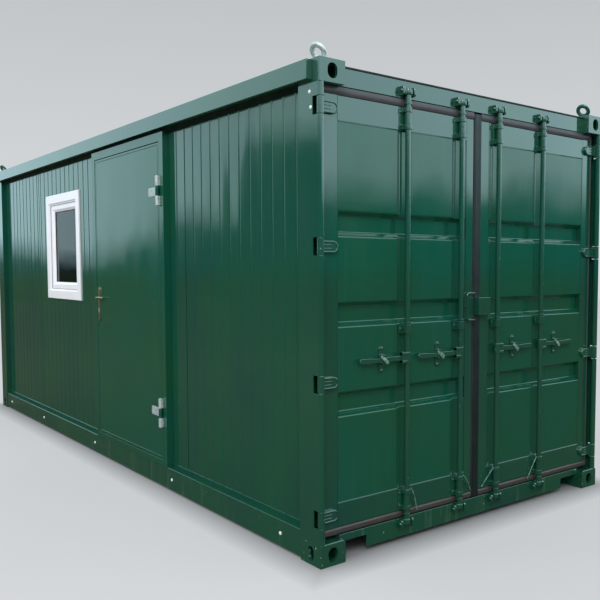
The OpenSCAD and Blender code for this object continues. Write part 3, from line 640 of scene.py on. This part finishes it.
def door_seals(side, sign):
    lo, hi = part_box(side + "_cargo_seal")
    leaf_lo, leaf_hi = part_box(side + "_cargo_leaf")
    y = leaf_lo[1]
    edge = leaf_lo[0] if sign < 0 else leaf_hi[0]
    free = -0.039 if sign < 0 else 0.029

    def upright(x, deep, trim, w, h, r):
        return seal_run(*[(x, y + deep, z) for z in (lo[2] + trim, hi[2] - trim)], (0, 1, 0), w, h, r)

    top = [(x, y + 0.0105, leaf_hi[2] + 0.0223) for x in sorted((edge, free))]
    foot = [(x, y + 0.0125, leaf_lo[2] - 0.0207) for x in (edge, free)]
    runs = [top_seal(*top, 0.029, 0.0443), seal_run(*foot, (0, 0, 1), 0.033, 0.0412),
            upright(edge + sign * 0.0105, 0.015, 0.004, 0.0195, 0.029, 0.008)]
    strips = []
    if sign > 0:
        runs.append(upright(-0.004, 0.0135, 0.002, 0.049, 0.031, 0.007))
        strip = [(-0.0285, 0.0), (-0.022, 0.0056), (-0.006, 0.0044),
                 (0.006, 0.0044), (0.022, 0.0056), (0.0285, 0.0)]
        strips.append((strip_rubber, carry(strip, [(0, y, lo[2]), (0, y, hi[2])], up=(0, -1, 0))))
    piece(side + "_rubber_seal", side + "_cargo_door", [(rubber, *runs), *strips],
          stands_for=side + "_cargo_seal")

for side, sign in SIDES:
    door_seals(side, sign)

# %% [markdown]
# ## Hinges of the cargo doors
# Each hinge is a forged blade with a round knuckle on a pin. The forging has a raised rim
# and two short ribs, which are half buried rods that follow the blade's outline.

# %% Hinge blades
hinge_zs = np.linspace(0.250, 2.358, 4)

def hinge_ribs(side, sign):
    lo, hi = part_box(side + "_hinge_blades")
    root = sign * (W - 0.036)
    tip = hi[0] if sign < 0 else lo[0]
    y = -L + 0.036
    turn = np.linspace(-math.pi / 2, math.pi / 2, 13)
    rods = []
    for z in hinge_zs:
        bend = curve(tip + sign * 0.031 - sign * 0.026 * np.cos(turn), y, z + 0.026 * np.sin(turn))
        rim = np.concatenate([[(root, y, z - 0.026)], bend, [(root, y, z + 0.026)]])
        rods.append(carry(circle(0.0040, 8), rim, up=(0, 1, 0)))
        for dz in (-0.009, 0.009):
            rods.append(carry(circle(0.0025, 8), [(root, y, z + dz), (tip + sign * 0.045, y, z + dz)]))
    piece(side + "_hinge_ribs", side + "_cargo_door", [(forged_enamel, *rods)])

for side, sign in SIDES:
    softened(side + "_hinge_blades", forged_enamel, 0.003, 3)
    hinge_ribs(side, sign)

# %% [markdown]
# ## Bolts
# Hexagon heads and domed screw caps fasten most of the ironwork. Each is a lathe turning of
# a small profile: a hexagon is the same turning with six steps.

# %% Bolt heads and domed caps
def bolt(centre, axis="y", flip=-1, r=0.009, h=0.006):
    """A six sided head on a round washer."""
    washer = turned([(r * 1.25, 0), (r * 1.25, 0.0012), (r * 1.15, 0.0018)], centre, axis, 20, flip)
    head = turned([(r, 0.0012), (r, h * 0.8), (r * 0.8, h), (r * 0.3, h)], centre, axis, 6, flip)
    return join(washer, head)

def dome(centre, axis="y", flip=-1, r=0.009, h=0.006):
    """A quarter ellipse of radius r and height h turned about its axis."""
    t = np.linspace(0, math.pi / 2 - 0.12, 7)
    return turned(curve(r * np.cos(t), h * np.sin(t)), centre, axis, 20, flip)

# %% [markdown]
# ## Locking bars
# A bar is a tube with rings that rest on its guides, a forged cam with two lobes at each
# end, and a handle in a forked hub. The tube and hub are turned, the lobes are rounded
# outlines carried up, and the handle is an outline that swells along its path into a grip.

# %% One locking bar, drawn about its own axis with the handle towards -X
bar_lo, bar_hi = (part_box("locking_bar_1")[k][2] for k in (0, 1))
guide_z = {"low": 0.241, "mid": 1.208, "high": 2.365}
HANDLE_Z, CATCH = 1.048, 0.172

def locking_bar(lean):
    r = 0.016
    profile = [(r - 0.004, bar_lo), (r - 0.001, bar_lo + 0.001), (r, bar_lo + 0.004)]
    for z, half in ((0.160, 0.004), (0.241, 0.032), (1.242, 0.004), (2.365, 0.032), (2.447, 0.006)):
        wide = 0.0192 if half > 0.01 else 0.0205
        profile += [(r, z - half - 0.001), (wide - 0.001, z - half), (wide, z - half + 0.001),
                    (wide, z + half - 0.001), (wide - 0.001, z + half), (r, z + half + 0.001)]
    profile += [(r, bar_hi - 0.004), (r - 0.001, bar_hi - 0.001), (r - 0.004, bar_hi)]
    tube = turned(profile, (0, 0, 0), n=28)
    hub = turned([(r, -0.031), (0.0188, -0.031), (0.02, -0.028), (0.02, 0.028), (0.0188, 0.031), (r, 0.031)],
                 (0, 0, HANDLE_Z), n=28)
    knob = [(0.016, -0.002), (0.0215, 0.0), (0.0235, 0.004), (0.0235, 0.026), (0.0215, 0.030), (0.012, 0.034)]
    lobe_r = 0.0098
    lobe = [(0.004, 0.0), (0.0082, 0.001), (lobe_r, 0.0045),
            (lobe_r, 0.0255), (0.0082, 0.029), (0.004, 0.030)]
    knobs = []
    for z in (bar_lo + 0.004, bar_hi - 0.034):
        knobs.append(turned(knob, (0, 0, z), n=28))
        for way, reach in (((-1, 0), 0.030), ((0, -1), 0.0265)):
            knobs.append(turned(lobe, (*(np.array(way) * (reach - lobe_r)), z), n=16))
    fork = [carry(rounded(w, h, 0.003), [(x, -0.001, HANDLE_Z + dz) for x in (-0.006, -0.044, -0.0475)],
                  size=[(1, 1), (1, 1), (0.88, 0.96)])
            for w, h, dz in ((0.0315, 0.0165, 0.0226), (0.0315, 0.0165, -0.0226), (0.0240, 0.0560, 0.0))]
    s = np.linspace(0, 1, 41)
    neck = 1 - 0.22 * np.exp(-((s - 0.62) / 0.09) ** 2)
    end = domed_end(s, 0.965, 0.0352, 0.02)
    path = curve(-0.014 - 0.331 * s, 0.0006 * np.sin(s * 9), HANDLE_Z - 0.002 * np.sin(s * math.pi))
    handle = carry(rounded(0.0108, 0.0285, 0.0024, 4), path, size=curve(0.5 + 0.5 * end, neck * end))
    pin = [bolt((-0.034, 0, HANDLE_Z + way * 0.0305), "z", way, 0.008) for way in (1, -1)]
    c, d = math.cos(lean), math.sin(lean)
    t = np.linspace(-1, 1, 17)
    along = curve(-CATCH + 0.034 * t * d, -0.0082 - 0.002 * (1 - t ** 2), HANDLE_Z + 0.034 * t * c)
    swell = domed_end(np.abs(t), 0.75, 0.26, 0.03) * (0.8 - 0.2 * t)
    flip_catch = carry(rounded(0.0262, 0.0056, 0.0026, 4), along, up=(0, -1, 0),
                       size=curve(swell, 0.5 + 0.5 * swell))
    return [(forged_enamel, tube, hub, *knobs, *fork, handle, *pin),
            (zinc_and_green_patches, flip_catch, dome((-CATCH, -0.0115, HANDLE_Z), r=0.006, h=0.0035))]

def place_bar(i, x):
    right = x > 0
    parts = [(m, *[moved(mirrored(s) if right else s, (x, -L + 0.027, 0)) for s in shapes])
             for m, *shapes in locking_bar(0.9 if right else -0.9)]
    bar = f"locking_bar_{i}"
    piece(bar + "_with_handle", bar, parts, stands_for=bar, angle=40)

for i, x in enumerate((-0.597, -0.165, 0.165, 0.597), 1):
    place_bar(i, x)

# %% [markdown]
# ## Bar guides, catches and keepers
# Guides are clamped and bolted on, catches are riveted, and keepers are welded to the sill
# and the header. Their CAD solids carry the shape; bolts and rivets are added here.

# %% Guides, catches, keepers
def ironwork(side, sign):
    body, y = side + "_cargo_door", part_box(side + "_cargo_leaf")[0][1]
    softened(side + "_bar_guides", forged_enamel, 0.0018)
    softened(side + "_handle_catches", forged_enamel, 0.0018)
    bolts, rivets = [], []
    for x in BAR_XS:
        for name, spread_z in (("low", 0.036), ("mid", 0.0), ("high", 0.036)):
            for dz in {-spread_z, spread_z}:
                bolts.append(bolt((sign * (x + 0.0345), y - 0.004, guide_z[name] + dz), r=0.0075))
                bolts.append(bolt((sign * (x - 0.0300), y - 0.004, guide_z[name] + dz), r=0.0055, h=0.005))
        for dz in (-0.06, 0.06):
            rivets.append(dome((sign * (x + CATCH), y - 0.0048, HANDLE_Z + dz), r=0.0085, h=0.005))
    piece(side + "_guide_bolts", body, [(forged_enamel, *bolts)])
    t = np.linspace(0, 1, 15)[:, None]
    wires = [carry(circle(0.0034, 8), (1 - t) ** 2 * np.array([sign * (x - 0.028), y - 0.030, 0.300])
                   + 2 * t * (1 - t) * np.array([sign * (x - 0.050), y - 0.034, 0.285])
                   + t ** 2 * np.array([sign * (x - reach), y - 0.010, low]), up=(0, 1, 0))
             for x, reach, low in ((0.597, 0.095, 0.158), (0.165, 0.115, 0.190))]
    piece(side + "_tie_back_wires", body, [(zinc_and_green_patches, *wires)])
    piece(side + "_catch_rivets", body, [(forged_enamel, *rivets)])

for side, sign in SIDES:
    ironwork(side, sign)

def keepers():
    """Cheeks as forged lugs: the outline is rounded most at the free front corners, and a
    domed boss stands on the outside of each."""
    lo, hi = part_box("bar_keepers")
    lugs = []
    for x in (-0.597, -0.165, 0.165, 0.597):
        for s in (-1, 1):
            for z in (lo[2] + 0.025, hi[2] - 0.025):
                xs = [x + s * k for k in (0.0340, 0.0355, 0.0455, 0.0470)]
                o = rounded(hi[1] - lo[1] + 0.012, 0.0495, 0.013, 6)
                across = [(k, (lo[1] + hi[1]) / 2 + 0.006, z) for k in xs[::s]]
                lugs.append(carry(o, across, size=[0.95, 1, 1, 0.95]))
                lugs.append(dome((x + s * 0.0468, lo[1] + 0.013, z), "x", s, 0.0115, 0.0085))
    piece("forged_bar_keepers", "cabin", [(forged_enamel, *lugs)], stands_for="bar_keepers")

keepers()

# %% [markdown]
# ## The lock box and its bracket
# A welded box hides the padlock on the right leaf, and a bent rod on a plate stands on the
# left one. The rod is a circle carried round a path with round corners.

# %% Lock box and bracket
def lock_bracket():
    lo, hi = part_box("left_lock_bracket")
    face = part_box("left_cargo_leaf")[0][1]
    r = 0.0052
    x0, x1, z0, z1, y = lo[0] + r, hi[0] - 0.002, lo[2] + r, hi[2] - r, lo[1] + r
    bend, t = 0.018, np.linspace(0, math.pi / 2, 8)
    low = curve(x0 + bend - bend * np.sin(t[::-1]), y, z0 + bend - bend * np.cos(t[::-1]))[::-1]
    high = low * (1, 1, -1) + (0, 0, z0 + z1)
    bent = np.concatenate([[(x1, y, z0)], low, high[::-1], [(x1, y, z1)]])
    rod = carry(circle(r, 12), bent, up=(0, 1, 0))
    mid_x, mid_z = (lo[0] + hi[0]) / 2, (lo[2] + hi[2]) / 2
    base = carry(rounded(hi[0] - lo[0], hi[2] - lo[2], 0.012, 6),
                 [(mid_x, d, mid_z) for d in (face - 0.004, face)])
    feet = [turned([(0.0065, 0), (0.005, abs(y - face))], (x, face, z), "y", 14, -1)
            for x, z in ((x1 - 0.008, z0), (x1 - 0.008, z1), (x0 + 0.001, (z0 + z1) / 2))]
    piece("bent_rod_lock_bracket", "left_cargo_door", [(forged_enamel, rod, base, *feet)],
          stands_for="left_lock_bracket", bevel=0.0006)

lock_bracket()
softened("right_lock_box", frame_enamel, 0.0025, 3)

# %% [markdown]
# ## The side door
# A flush steel leaf stands in a steel frame. The leaf's skin is folded round its edge, which
# leaves a fine seam inside the fold. Its hinges are three barrels on one pin: the strap and
# the tabs are galvanised, and each middle barrel is dark green enamel.

# %% Side door frame and leaf
softened("side_door_frame", door_enamel, 0.0015)

def side_leaf():
    lo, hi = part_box("side_door_leaf")
    seams_y, seams_z = (lo[1] + 0.018, hi[1] - 0.018), (lo[2] + 0.018, hi[2] - 0.018)
    fold = (0.0012, 0.0022)
    u = steps(lo[1], hi[1], *bends(seams_y, *fold), gap=0.2)
    v = steps(lo[2], hi[2], *bends(seams_z, *fold), gap=0.2)
    seam = np.maximum(trough(u, seams_y, *fold)[:, None] + 0 * v, trough(v, seams_z, *fold)[None])
    in_u = (u > seams_y[0] - 0.003) & (u < seams_y[1] + 0.003)
    in_v = (v > seams_z[0] - 0.003) & (v < seams_z[1] + 0.003)
    inside = in_u[:, None] & in_v[None]
    front = lo[0] + 0.0012 * seam * inside
    skin, back = plate(u, v, front, np.full_like(front, hi[0]), (1, 2, 0))
    piece("flush_side_door_leaf", "side_door", [(door_enamel, skin), (lining, back)],
          bevel=0.0015, stands_for="side_door_leaf")

side_leaf()

# %% Side door hinges
door_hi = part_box("side_door_hinge_leaves")[1]
fixed_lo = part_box("side_door_frame_barrels")[0]
PIN = (fixed_lo[0] + 0.014, fixed_lo[1] + 0.014)
hinge_pair = (0.535, 2.075)

def barrel(z, h=0.066, r=0.014):
    """A rolled barrel: its ends are rounded and a shallow groove runs round it near each."""
    p = [(r - 0.002, -h / 2), (r - 0.0004, -h / 2 + 0.001), (r, -h / 2 + 0.003)]
    for at in (-h / 2 + 0.010, h / 2 - 0.010):
        p += [(r, at - 0.0015), (r - 0.0010, at - 0.0005), (r - 0.0010, at + 0.0005), (r, at + 0.0015)]
    p += [(r, h / 2 - 0.003), (r - 0.0004, h / 2 - 0.001), (r - 0.002, h / 2)]
    return turned(p, (*PIN, z), n=28)

def side_door_hinges():
    fixed, straps, painted = [], [], []
    for z in hinge_pair:
        for s in (-1, 1):
            zc = z + s * 0.0675
            tab = [(x, PIN[1] - 0.009, zc) for x in (PIN[0], -W + 0.001)]
            cap = [(0.0095, 0), (0.0095, 0.0028), (0.007, 0.0042)]
            fixed += [barrel(zc), carry(rounded(0.008, 0.062, 0.002), tab),
                      turned(cap, (*PIN, z + s * 0.1004), n=20, flip=s)]
        # The middle barrel of each hinge is dark green enamel.
        painted.append(barrel(z))
        y0, y1 = PIN[1] + 0.004, door_hi[1]
        outline = rounded(y1 - y0, 0.060, 0.012, 6)
        top_x = -W - 0.0005
        straps.append(moved(flat_piece(outline, top_x - 0.0025, top_x + 0.0035), (0, (y0 + y1) / 2, z)))
        for back, dz in ((0.022, -0.014), (0.070, 0.014), (0.118, -0.014)):
            straps.append(dome((top_x - 0.0022, y1 - back, z + dz), "x", -1, 0.0062, 0.0034))
    piece("side_door_fixed_barrels", "cabin", [(zinc, *fixed)],
          stands_for="side_door_frame_barrels", bevel=0.0004)
    piece("side_door_hinge_straps", "side_door",
          [(zinc, *straps), (frame_enamel, *painted)],
          stands_for="side_door_hinge_leaves", bevel=0.0004)

side_door_hinges()

# %% [markdown]
# ## The lever handle
# Long plates with rounded ends carry a round lever and, below it, the keyhole of a profile
# cylinder. The lever bar is drawn with a slight bow and a domed end.

# %% Lever, plates and keyhole
def lever_set():
    lo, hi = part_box("side_door_handle_plates")
    yc, zc = (lo[1] + hi[1]) / 2, (lo[2] + hi[2]) / 2
    faces = ((lo[0], -1), (hi[0], 1))
    outline, thick = rounded(hi[1] - lo[1], hi[2] - lo[2], 0.0225, 8), 0.008
    plates = [moved(flat_piece(outline, x, x + thick), (0, yc, zc)) for x in (lo[0], hi[0] - thick)]
    screws = [dome((x, yc, zc + dz), "x", s, 0.0045, 0.002) for x, s in faces for dz in (-0.122, 0.122)]
    hole = np.concatenate([circle(0.0085, 16)[:, ::-1] + (0, 0.008), [(-0.005, -0.016), (0.005, -0.016)]])
    hole = hole[np.argsort(np.arctan2(hole[:, 1], hole[:, 0]))]
    keys = [moved(flat_piece(hole, x - 0.0018, x + 0.0018), (0, yc, zc - 0.052)) for x, _ in faces]
    # Painted shade: each keyway slot is a thin black block on the plug's face, dark as the inside of a slot
    # is in shade.
    keyway_painted_shade = [block((x - 0.0022, yc - 0.001, zc - 0.049), (x + 0.0022, yc + 0.001, zc - 0.040))
             for x, _ in faces]
    piece("handle_plates_with_cylinder", "side_door",
          [(bronze, *plates, *screws), (zinc, *keys), (black_strips_and_keyway_shade, *keyway_painted_shade)],
          stands_for="side_door_handle_plates", bevel=0.0012)
    lever_lo, lever_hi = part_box("side_door_lever")
    y0, z = lever_hi[1] - 0.011, (lever_lo[2] + lever_hi[2]) / 2
    s = np.linspace(0, 1, 25)
    arch = np.sin(s * math.pi)
    end = domed_end(s, 0.93, 0.0705, 0.03) * (1 - 0.12 * arch)
    shapes = []
    for x, out in ((lever_lo[0] + 0.0072, 1), (lever_hi[0] - 0.0072, -1)):
        bow = curve(x + out * 0.0006 * arch, y0 - s * (y0 - lever_lo[1]), z + 0.0018 * arch)
        shapes.append(carry(rounded(0.0136, 0.0176, 0.0066, 5), bow, size=end))
    reach = lever_hi[0] - lever_lo[0]
    spindle = [(0.0085, 0), (0.0088, 0.002), (0.0088, reach - 0.004), (0.0085, reach - 0.002)]
    shapes.append(turned(spindle, (lever_lo[0] + 0.001, y0 - 0.001, z), "x", 24))
    rose = [(0.0125, 0), (0.0125, 0.003), (0.0100, 0.007)]
    shapes += [turned(rose, (x - way * 0.001, y0 - 0.001, z), "x", 24, way) for x, way in faces]
    piece("round_bar_levers", "side_door_lever", [(bronze, *shapes)],
          stands_for="side_door_lever")

lever_set()

# %% [markdown]
# ## The window
# The window is white plastic profile with welded mitres: a fixed frame, a sash, and a sealed
# unit of two panes. A moulding is a profile carried round a rectangle. Each point of the
# profile becomes a rectangle that much smaller and that far out, so that the mitres are
# exact.

# %% Mouldings and panes
def mitred(box, profile):
    """profile is a closed loop of (inward, x); each point makes one rectangle."""
    (_, y0, z0), (_, y1, z1) = box
    rings = [[(x, y0 + i, z0 + i), (x, y1 - i, z0 + i), (x, y1 - i, z1 - i), (x, y0 + i, z1 - i)]
             for i, x in profile]
    return np.array(rings, float).reshape(-1, 3), grid(len(profile), 4, round_u=True, round_v=True)

def window():
    """f, s and g are the fronts of frame, sash and glass, and fb, sb and gb their backs; e and
    p are how far in the sash and the glass start."""
    box, sash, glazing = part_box("window_frame"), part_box("window_sash"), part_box("window_glass")
    (f, fb), (s, sb), (g, gb) = ((lo[0], hi[0]) for lo, hi in (box, sash, glazing))
    e, p = (inner[0][1] - box[0][1] for inner in (sash, glazing))
    frame_profile = [(0, fb), (0, f + 0.006), (0.0015, f + 0.0022), (0.005, f), (e - 0.020, f),
                     (e - 0.016, f + 0.0008), (e - 0.0125, f + 0.004), (e - 0.0115, f + 0.012),
                     (e, f + 0.014), (e, fb)]
    sash_profile = [(e + 0.0005, sb), (e + 0.0005, s + 0.004), (e + 0.002, s + 0.001), (e + 0.005, s),
                    (p - 0.024, s), (p - 0.020, s + 0.001), (p - 0.016, s + 0.004),
                    (p - 0.0025, s + 0.0125), (p, s + 0.016), (p, sb)]
    stops = [mitred(box, [(e - 0.002, x), (e - 0.002, x + d), (e + 0.0035, x + d), (e + 0.0035, x)])
             for x, d in ((f + 0.0135, 0.006), (sb - 0.001, -0.004))]
    beads = [mitred(box, [(p - 0.0025, g + 0.001), (p - 0.0015, g - 0.004), (p + 0.0015, g - 0.005),
                          (p + 0.0045, g - 0.001), (p + 0.0045, g + 0.001)]),
             mitred(box, [(p - 0.0025, gb - 0.001), (p + 0.0045, gb - 0.001),
                          (p + 0.0025, gb + 0.004), (p - 0.0025, gb + 0.005)])]
    spacer = mitred(box, [(p - 0.0005, g + 0.0042), (p + 0.012, g + 0.0042),
                          (p + 0.012, gb - 0.0042), (p - 0.0005, gb - 0.0042)])
    piece("mitred_window_frame", "cabin", [(upvc, mitred(box, frame_profile))],
          stands_for="window_frame", bevel=0.0008)
    sash_parts = [(upvc, mitred(box, sash_profile)), (grey_gasket, *stops), (black_strips_and_keyway_shade, *beads),
                  (tray_steel, spacer)]
    piece("mitred_window_sash", "cabin", sash_parts, stands_for="window_sash", bevel=0.0006)
    (_, y0, z0), (_, y1, z1) = glazing
    panes = [block((x, y0, z0), (x + 0.004, y1, z1)) for x in (g, gb - 0.004)]
    piece("sealed_unit_of_two_panes", "cabin", [(glass, *panes)], stands_for="window_glass")

window()

# %% [markdown]
# ## Lifting eyes
# Each roof corner has a forged lifting eye on a welded foot. One is bare galvanised and the
# other three have been sprayed with the rest.

# %% Four lifting eyes
LEAN, TURN = math.radians(38), math.radians(-80)

def lifting_eye(x, y):
    """A ring of rounded section, leant over and then turned, on a flat foot."""
    t = np.arange(36) * 2 * math.pi / 36
    middle = curve(0.036 * np.cos(t), 0, 0.044 + 0.036 * np.sin(t))
    ring = carry(rounded(0.0278, 0.0236, 0.0112, 5), middle, up=(0, 1, 0), loop=True)
    shoulder = turned([(0.024, -0.004), (0.024, 0.001), (0.017, 0.006), (0.014, 0.010)], (0, 0, 0), n=28)
    c, s = math.cos(LEAN), math.sin(LEAN)
    p, faces = join(ring, shoulder)
    leant = curve(p[:, 0], p[:, 1] * c - p[:, 2] * s, p[:, 1] * s + p[:, 2] * c + 0.012), faces
    foot = carry(rounded(0.104, 0.080, 0.010, 5), [(0, 0, z) for z in (0, 0.009, 0.012)],
                 up=(0, 1, 0), size=[1, 1, 0.97])
    c, s = math.cos(TURN), math.sin(TURN)
    p, faces = join(leant, foot)
    return curve(p[:, 0] * c - p[:, 1] * s, p[:, 0] * s + p[:, 1] * c, p[:, 2]) + (x, y, H), faces

eye_x, eye_y = W - 0.081, L - 0.089
bare = [lifting_eye(-eye_x, -eye_y)]
sprayed = [lifting_eye(sx * eye_x, sy * eye_y) for sx, sy in ((1, -1), (-1, 1), (1, 1))]
piece("four_lifting_eyes", "cabin", [(zinc, *bare), (cast_enamel, *sprayed)],
      stands_for="lifting_eyes")

# %% [markdown]
# ## Small parts on the frame
# Nylon caps cover the fixing screws of the sills. A folded flashing with a rounded hem on
# both edges closes the foot of each wall. Black strips lie along the top of the door header and under
# the eaves, and weld beads join castings to posts.

# %% Caps, flashing, strips and welds
CASTING_H, PAST_CASTING = 0.118, 0.170

def trims():
    """sill and wall are where those stand on the -X side, so both are negative."""
    caps, strips, beads, seals, hems = [], [], [], [], []
    (sill, _, _), (_, _, top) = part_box("side_sills")
    (wall, _, _), (_, _, wall_top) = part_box("wall_with_window")
    end, out = L - PAST_CASTING, wall - sill - 0.0005
    sill_screws, post_screws = (0.383, 1.740, 3.200, 4.577, 5.704), ((0.085, 2.430), (0.075, 2.352))
    flashing = [(0, 0), (out, 0), (out, 0.0015), (0.0015, 0.0015), (0.0015, 0.026), (0, 0.026)]
    for sx in (-1, 1):
        caps += [dome((-sx * sill, y - L, 0.085), "x", sx, 0.011, 0.006) for y in sill_screws]
        caps += [dome((sx * W, y - L, z), "x", sx, 0.010, 0.006) for y, z in post_screws]
        for y0, y1 in ((-end, 1.800 - L), (3.132 - L, end)):
            strips.append(carry(flashing, [(-sx * wall, y, top) for y in ((y0, y1) if sx > 0 else (y1, y0))]))
            hems += [carry(circle(0.0019, 8), [(sx * (a - wall), y, top + b) for y in (y0, y1)])
                     for a, b in ((0.0012, 0.026), (out - 0.0014, 0.0006))]
    piece("nylon_screw_caps", "cabin", [(white_cap, *caps)])
    piece("wall_foot_flashing", "cabin", [(ledge_enamel, *strips), (frame_enamel, *hems)])
    eaves = (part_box("roof_fascias")[0][2] + wall_top) / 2
    for sx in (-1, 1):
        run = [(sx * (0.004 - wall), y, eaves) for y in (-end, end)]
        seals.append(carry(rounded(0.030, 0.026, 0.004), run))
    # A black strip runs along the top edge of the door header.
    lo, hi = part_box("end_headers")
    run = [(x, lo[1] + 0.004, hi[2]) for x in (-W + 0.165, W - 0.165)]
    seals.append(carry(rounded(0.016, 0.012, 0.004), run))
    piece("black_strips_on_header_and_eaves", "cabin", [(black_strips_and_keyway_shade, *seals)])
    for z in (CASTING_H, H - CASTING_H):
        for sx in (-1, 1):
            for sy in (-1, 1):
                x, y = sx * (W - 0.006), sy * (L - 0.006)
                beads += [carry(circle(0.0042, 8), [start, (x, y, z)])
                          for start in ((sx * (W - 0.150), y, z), (x, sy * end, z))]
    piece("casting_weld_beads", "cabin", [(frame_enamel, *beads)])

trims()

# %% [markdown]
# ## Floor and sky
# The cabin stands on a pale floor in a soft studio, which is all that the camera sees. Gloss
# paint shows what is round it, so what the paint mirrors is given the sky and the dark
# ground that it would meet out of doors: pale down to a soft edge near the horizon, and
# dark below it.

# %% Studio floor
def studio_floor():
    """For the camera the floor has a pale tone and a glow, which is painted light: it fills the
    floor's own shadow beside the cabin. The glow fades out under the cabin so that the gaps below the
    sills stay dark, and its rise across the cabin's edge paints a soft contact shadow round it. In the
    paint it is darker."""
    m, t, s = new_material("pale_studio_floor", Roughness=0.9, Specular_IOR_Level=0.0,
                           Emission_Color=srgb("#a2a4a6"))
    ray = node(t, "LightPath").outputs
    lit = mixed(t, ray["Is Glossy Ray"], srgb("#8b8d86"), srgb("#4a4b3f"))
    pale = mixed(t, patches(t, 0.35, detail=1.0), srgb("#868889"), srgb("#8e9091"))
    at = node(t, "SeparateXYZ", {"Vector": place(t)}).outputs
    # Painted light and shadow: the glow is held off under the cabin and rises from 5 cm inside its edge to 20
    # cm outside, so it fills the real shadow beside the cabin and paints a soft contact shadow round it.
    clear = [spread(t, maths(t, "ABSOLUTE", at[k]), edge, edge + 0.25)
             for k, edge in ((0, W - 0.05), (1, L - 0.05))]
    glow = maths(t, "MULTIPLY", maths(t, "MAXIMUM", *clear), ray["Is Camera Ray"])
    feed(s, Emission_Strength=glow, Base_Color=mixed(t, ray["Is Camera Ray"], lit, pale))
    n = 13
    across = np.linspace(-30, 30, n)
    points = curve(*np.meshgrid(across, across, indexing="ij"), 0).reshape(-1, 3)
    mesh = bpy.data.meshes.new("studio_floor")
    mesh.from_pydata(points.tolist(), [], grid(n, n))
    mesh.materials.append(m)
    floor = placed("studio_floor", mesh)

studio_floor()

# %% Sky
def sky():
    world = bpy.data.worlds.new("studio")
    scene.world = world
    world.use_nodes = True
    t = world.node_tree
    ray = node(t, "LightPath").outputs
    way = node(t, "TexCoord").outputs["Generated"]
    x, y, rise = node(t, "SeparateXYZ", {"Vector": way}).outputs
    rough = node(t, "TexNoise", {"Vector": way, "Scale": 14.0, "Detail": 3.0}).outputs["Fac"]
    bearing = maths(t, "ARCTAN2", maths(t, "MULTIPLY", x, -1.0), y)
    trees = maths(t, "ADD", spread(t, bearing, 0.42, 0.43, 0.012, 0.06),
                  spread(t, bearing, 0.51, 0.54, 0.0, 0.11))
    front = spread(t, y, -0.2, 0.0, 0.09, -0.1)
    ragged = maths(t, "MULTIPLY", maths(t, "SUBTRACT", rough, 0.5), 0.09)
    skyline = maths(t, "ADD", maths(t, "MAXIMUM", trees, front), ragged)
    height = maths(t, "SUBTRACT", rise, skyline)
    glow = maths(t, "ADD", 1.3, maths(t, "MULTIPLY", maths(t, "SUBTRACT", x, y), 0.27))
    level = node(t, "CombineXYZ", {0: glow, 1: glow, 2: glow}).outputs[0]
    bright = node(t, "Mix", {0: 1.0, 6: (0.72, 1.02, 1.11, 1), 7: level}, data_type="RGBA",
                  blend_type="MULTIPLY").outputs[2]
    distant = mixed(t, spread(t, y, -0.2, 0.2), (0.01, 0.20, 0.18, 1), (0.03, 0.09, 0.10, 1))
    haze = mixed(t, spread(t, rise, -0.02, 0.01), (0.055, 0.066, 0.034, 1), distant)
    mirror = mixed(t, spread(t, height, -0.012, 0.03), haze, bright)
    plain = mixed(t, spread(t, rise, 0.02, 0.34), srgb("#d8dbde"), srgb("#bfc3c6"))
    soft = mixed(t, ray["Is Glossy Ray"], (1.0, 1.02, 1.05, 1), mirror)
    feed(t.nodes["Background"], Color=mixed(t, ray["Is Camera Ray"], soft, plain))

sky()

# %% [markdown]
# ## Lamps and camera
# One large soft lamp stands in front, high on the left, and a weaker one beside the long wall
# with the window, which paint doesn't mirror. The camera is a little above half the
# cabin's height and looks at the near corner, with a shifted lens so that uprights stay
# upright.

# %% Lamps, camera, colour
def aim(o, at):
    """Turns an object so that its -Z axis points at a place."""
    o.rotation_euler = (Vector(at) - o.location).to_track_quat("-Z", "Y").to_euler()

for name, size, power, spot, at in (("soft_key_lamp", 5.0, 420.0, (-6.0, -9.0, 8.0), (0, -1.5, 1.0)),
                                    ("soft_side_lamp", 4.0, 190.0, (-9.0, 2.0, 5.0), (-1.2, 1.2, 1.2))):
    lamp = placed(name, bpy.data.lights.new(name, "AREA"))
    lamp.data.shape, lamp.data.size, lamp.data.energy = "DISK", size, power
    lamp.location = spot
    aim(lamp, at)
lamp.visible_glossy = False

camera = placed("camera", bpy.data.cameras.new("camera"))
camera.location = (-3.469, -6.094, 1.546)
camera.rotation_euler = [math.radians(a) for a in (86.38, -0.03, -39.27)]
camera.data.lens, camera.data.sensor_width = 45.41, 36.0
camera.data.shift_x, camera.data.shift_y = -0.0993, 0.0268
camera.data.clip_end = 200.0
scene.camera = camera
scene.view_settings.view_transform = "Standard"
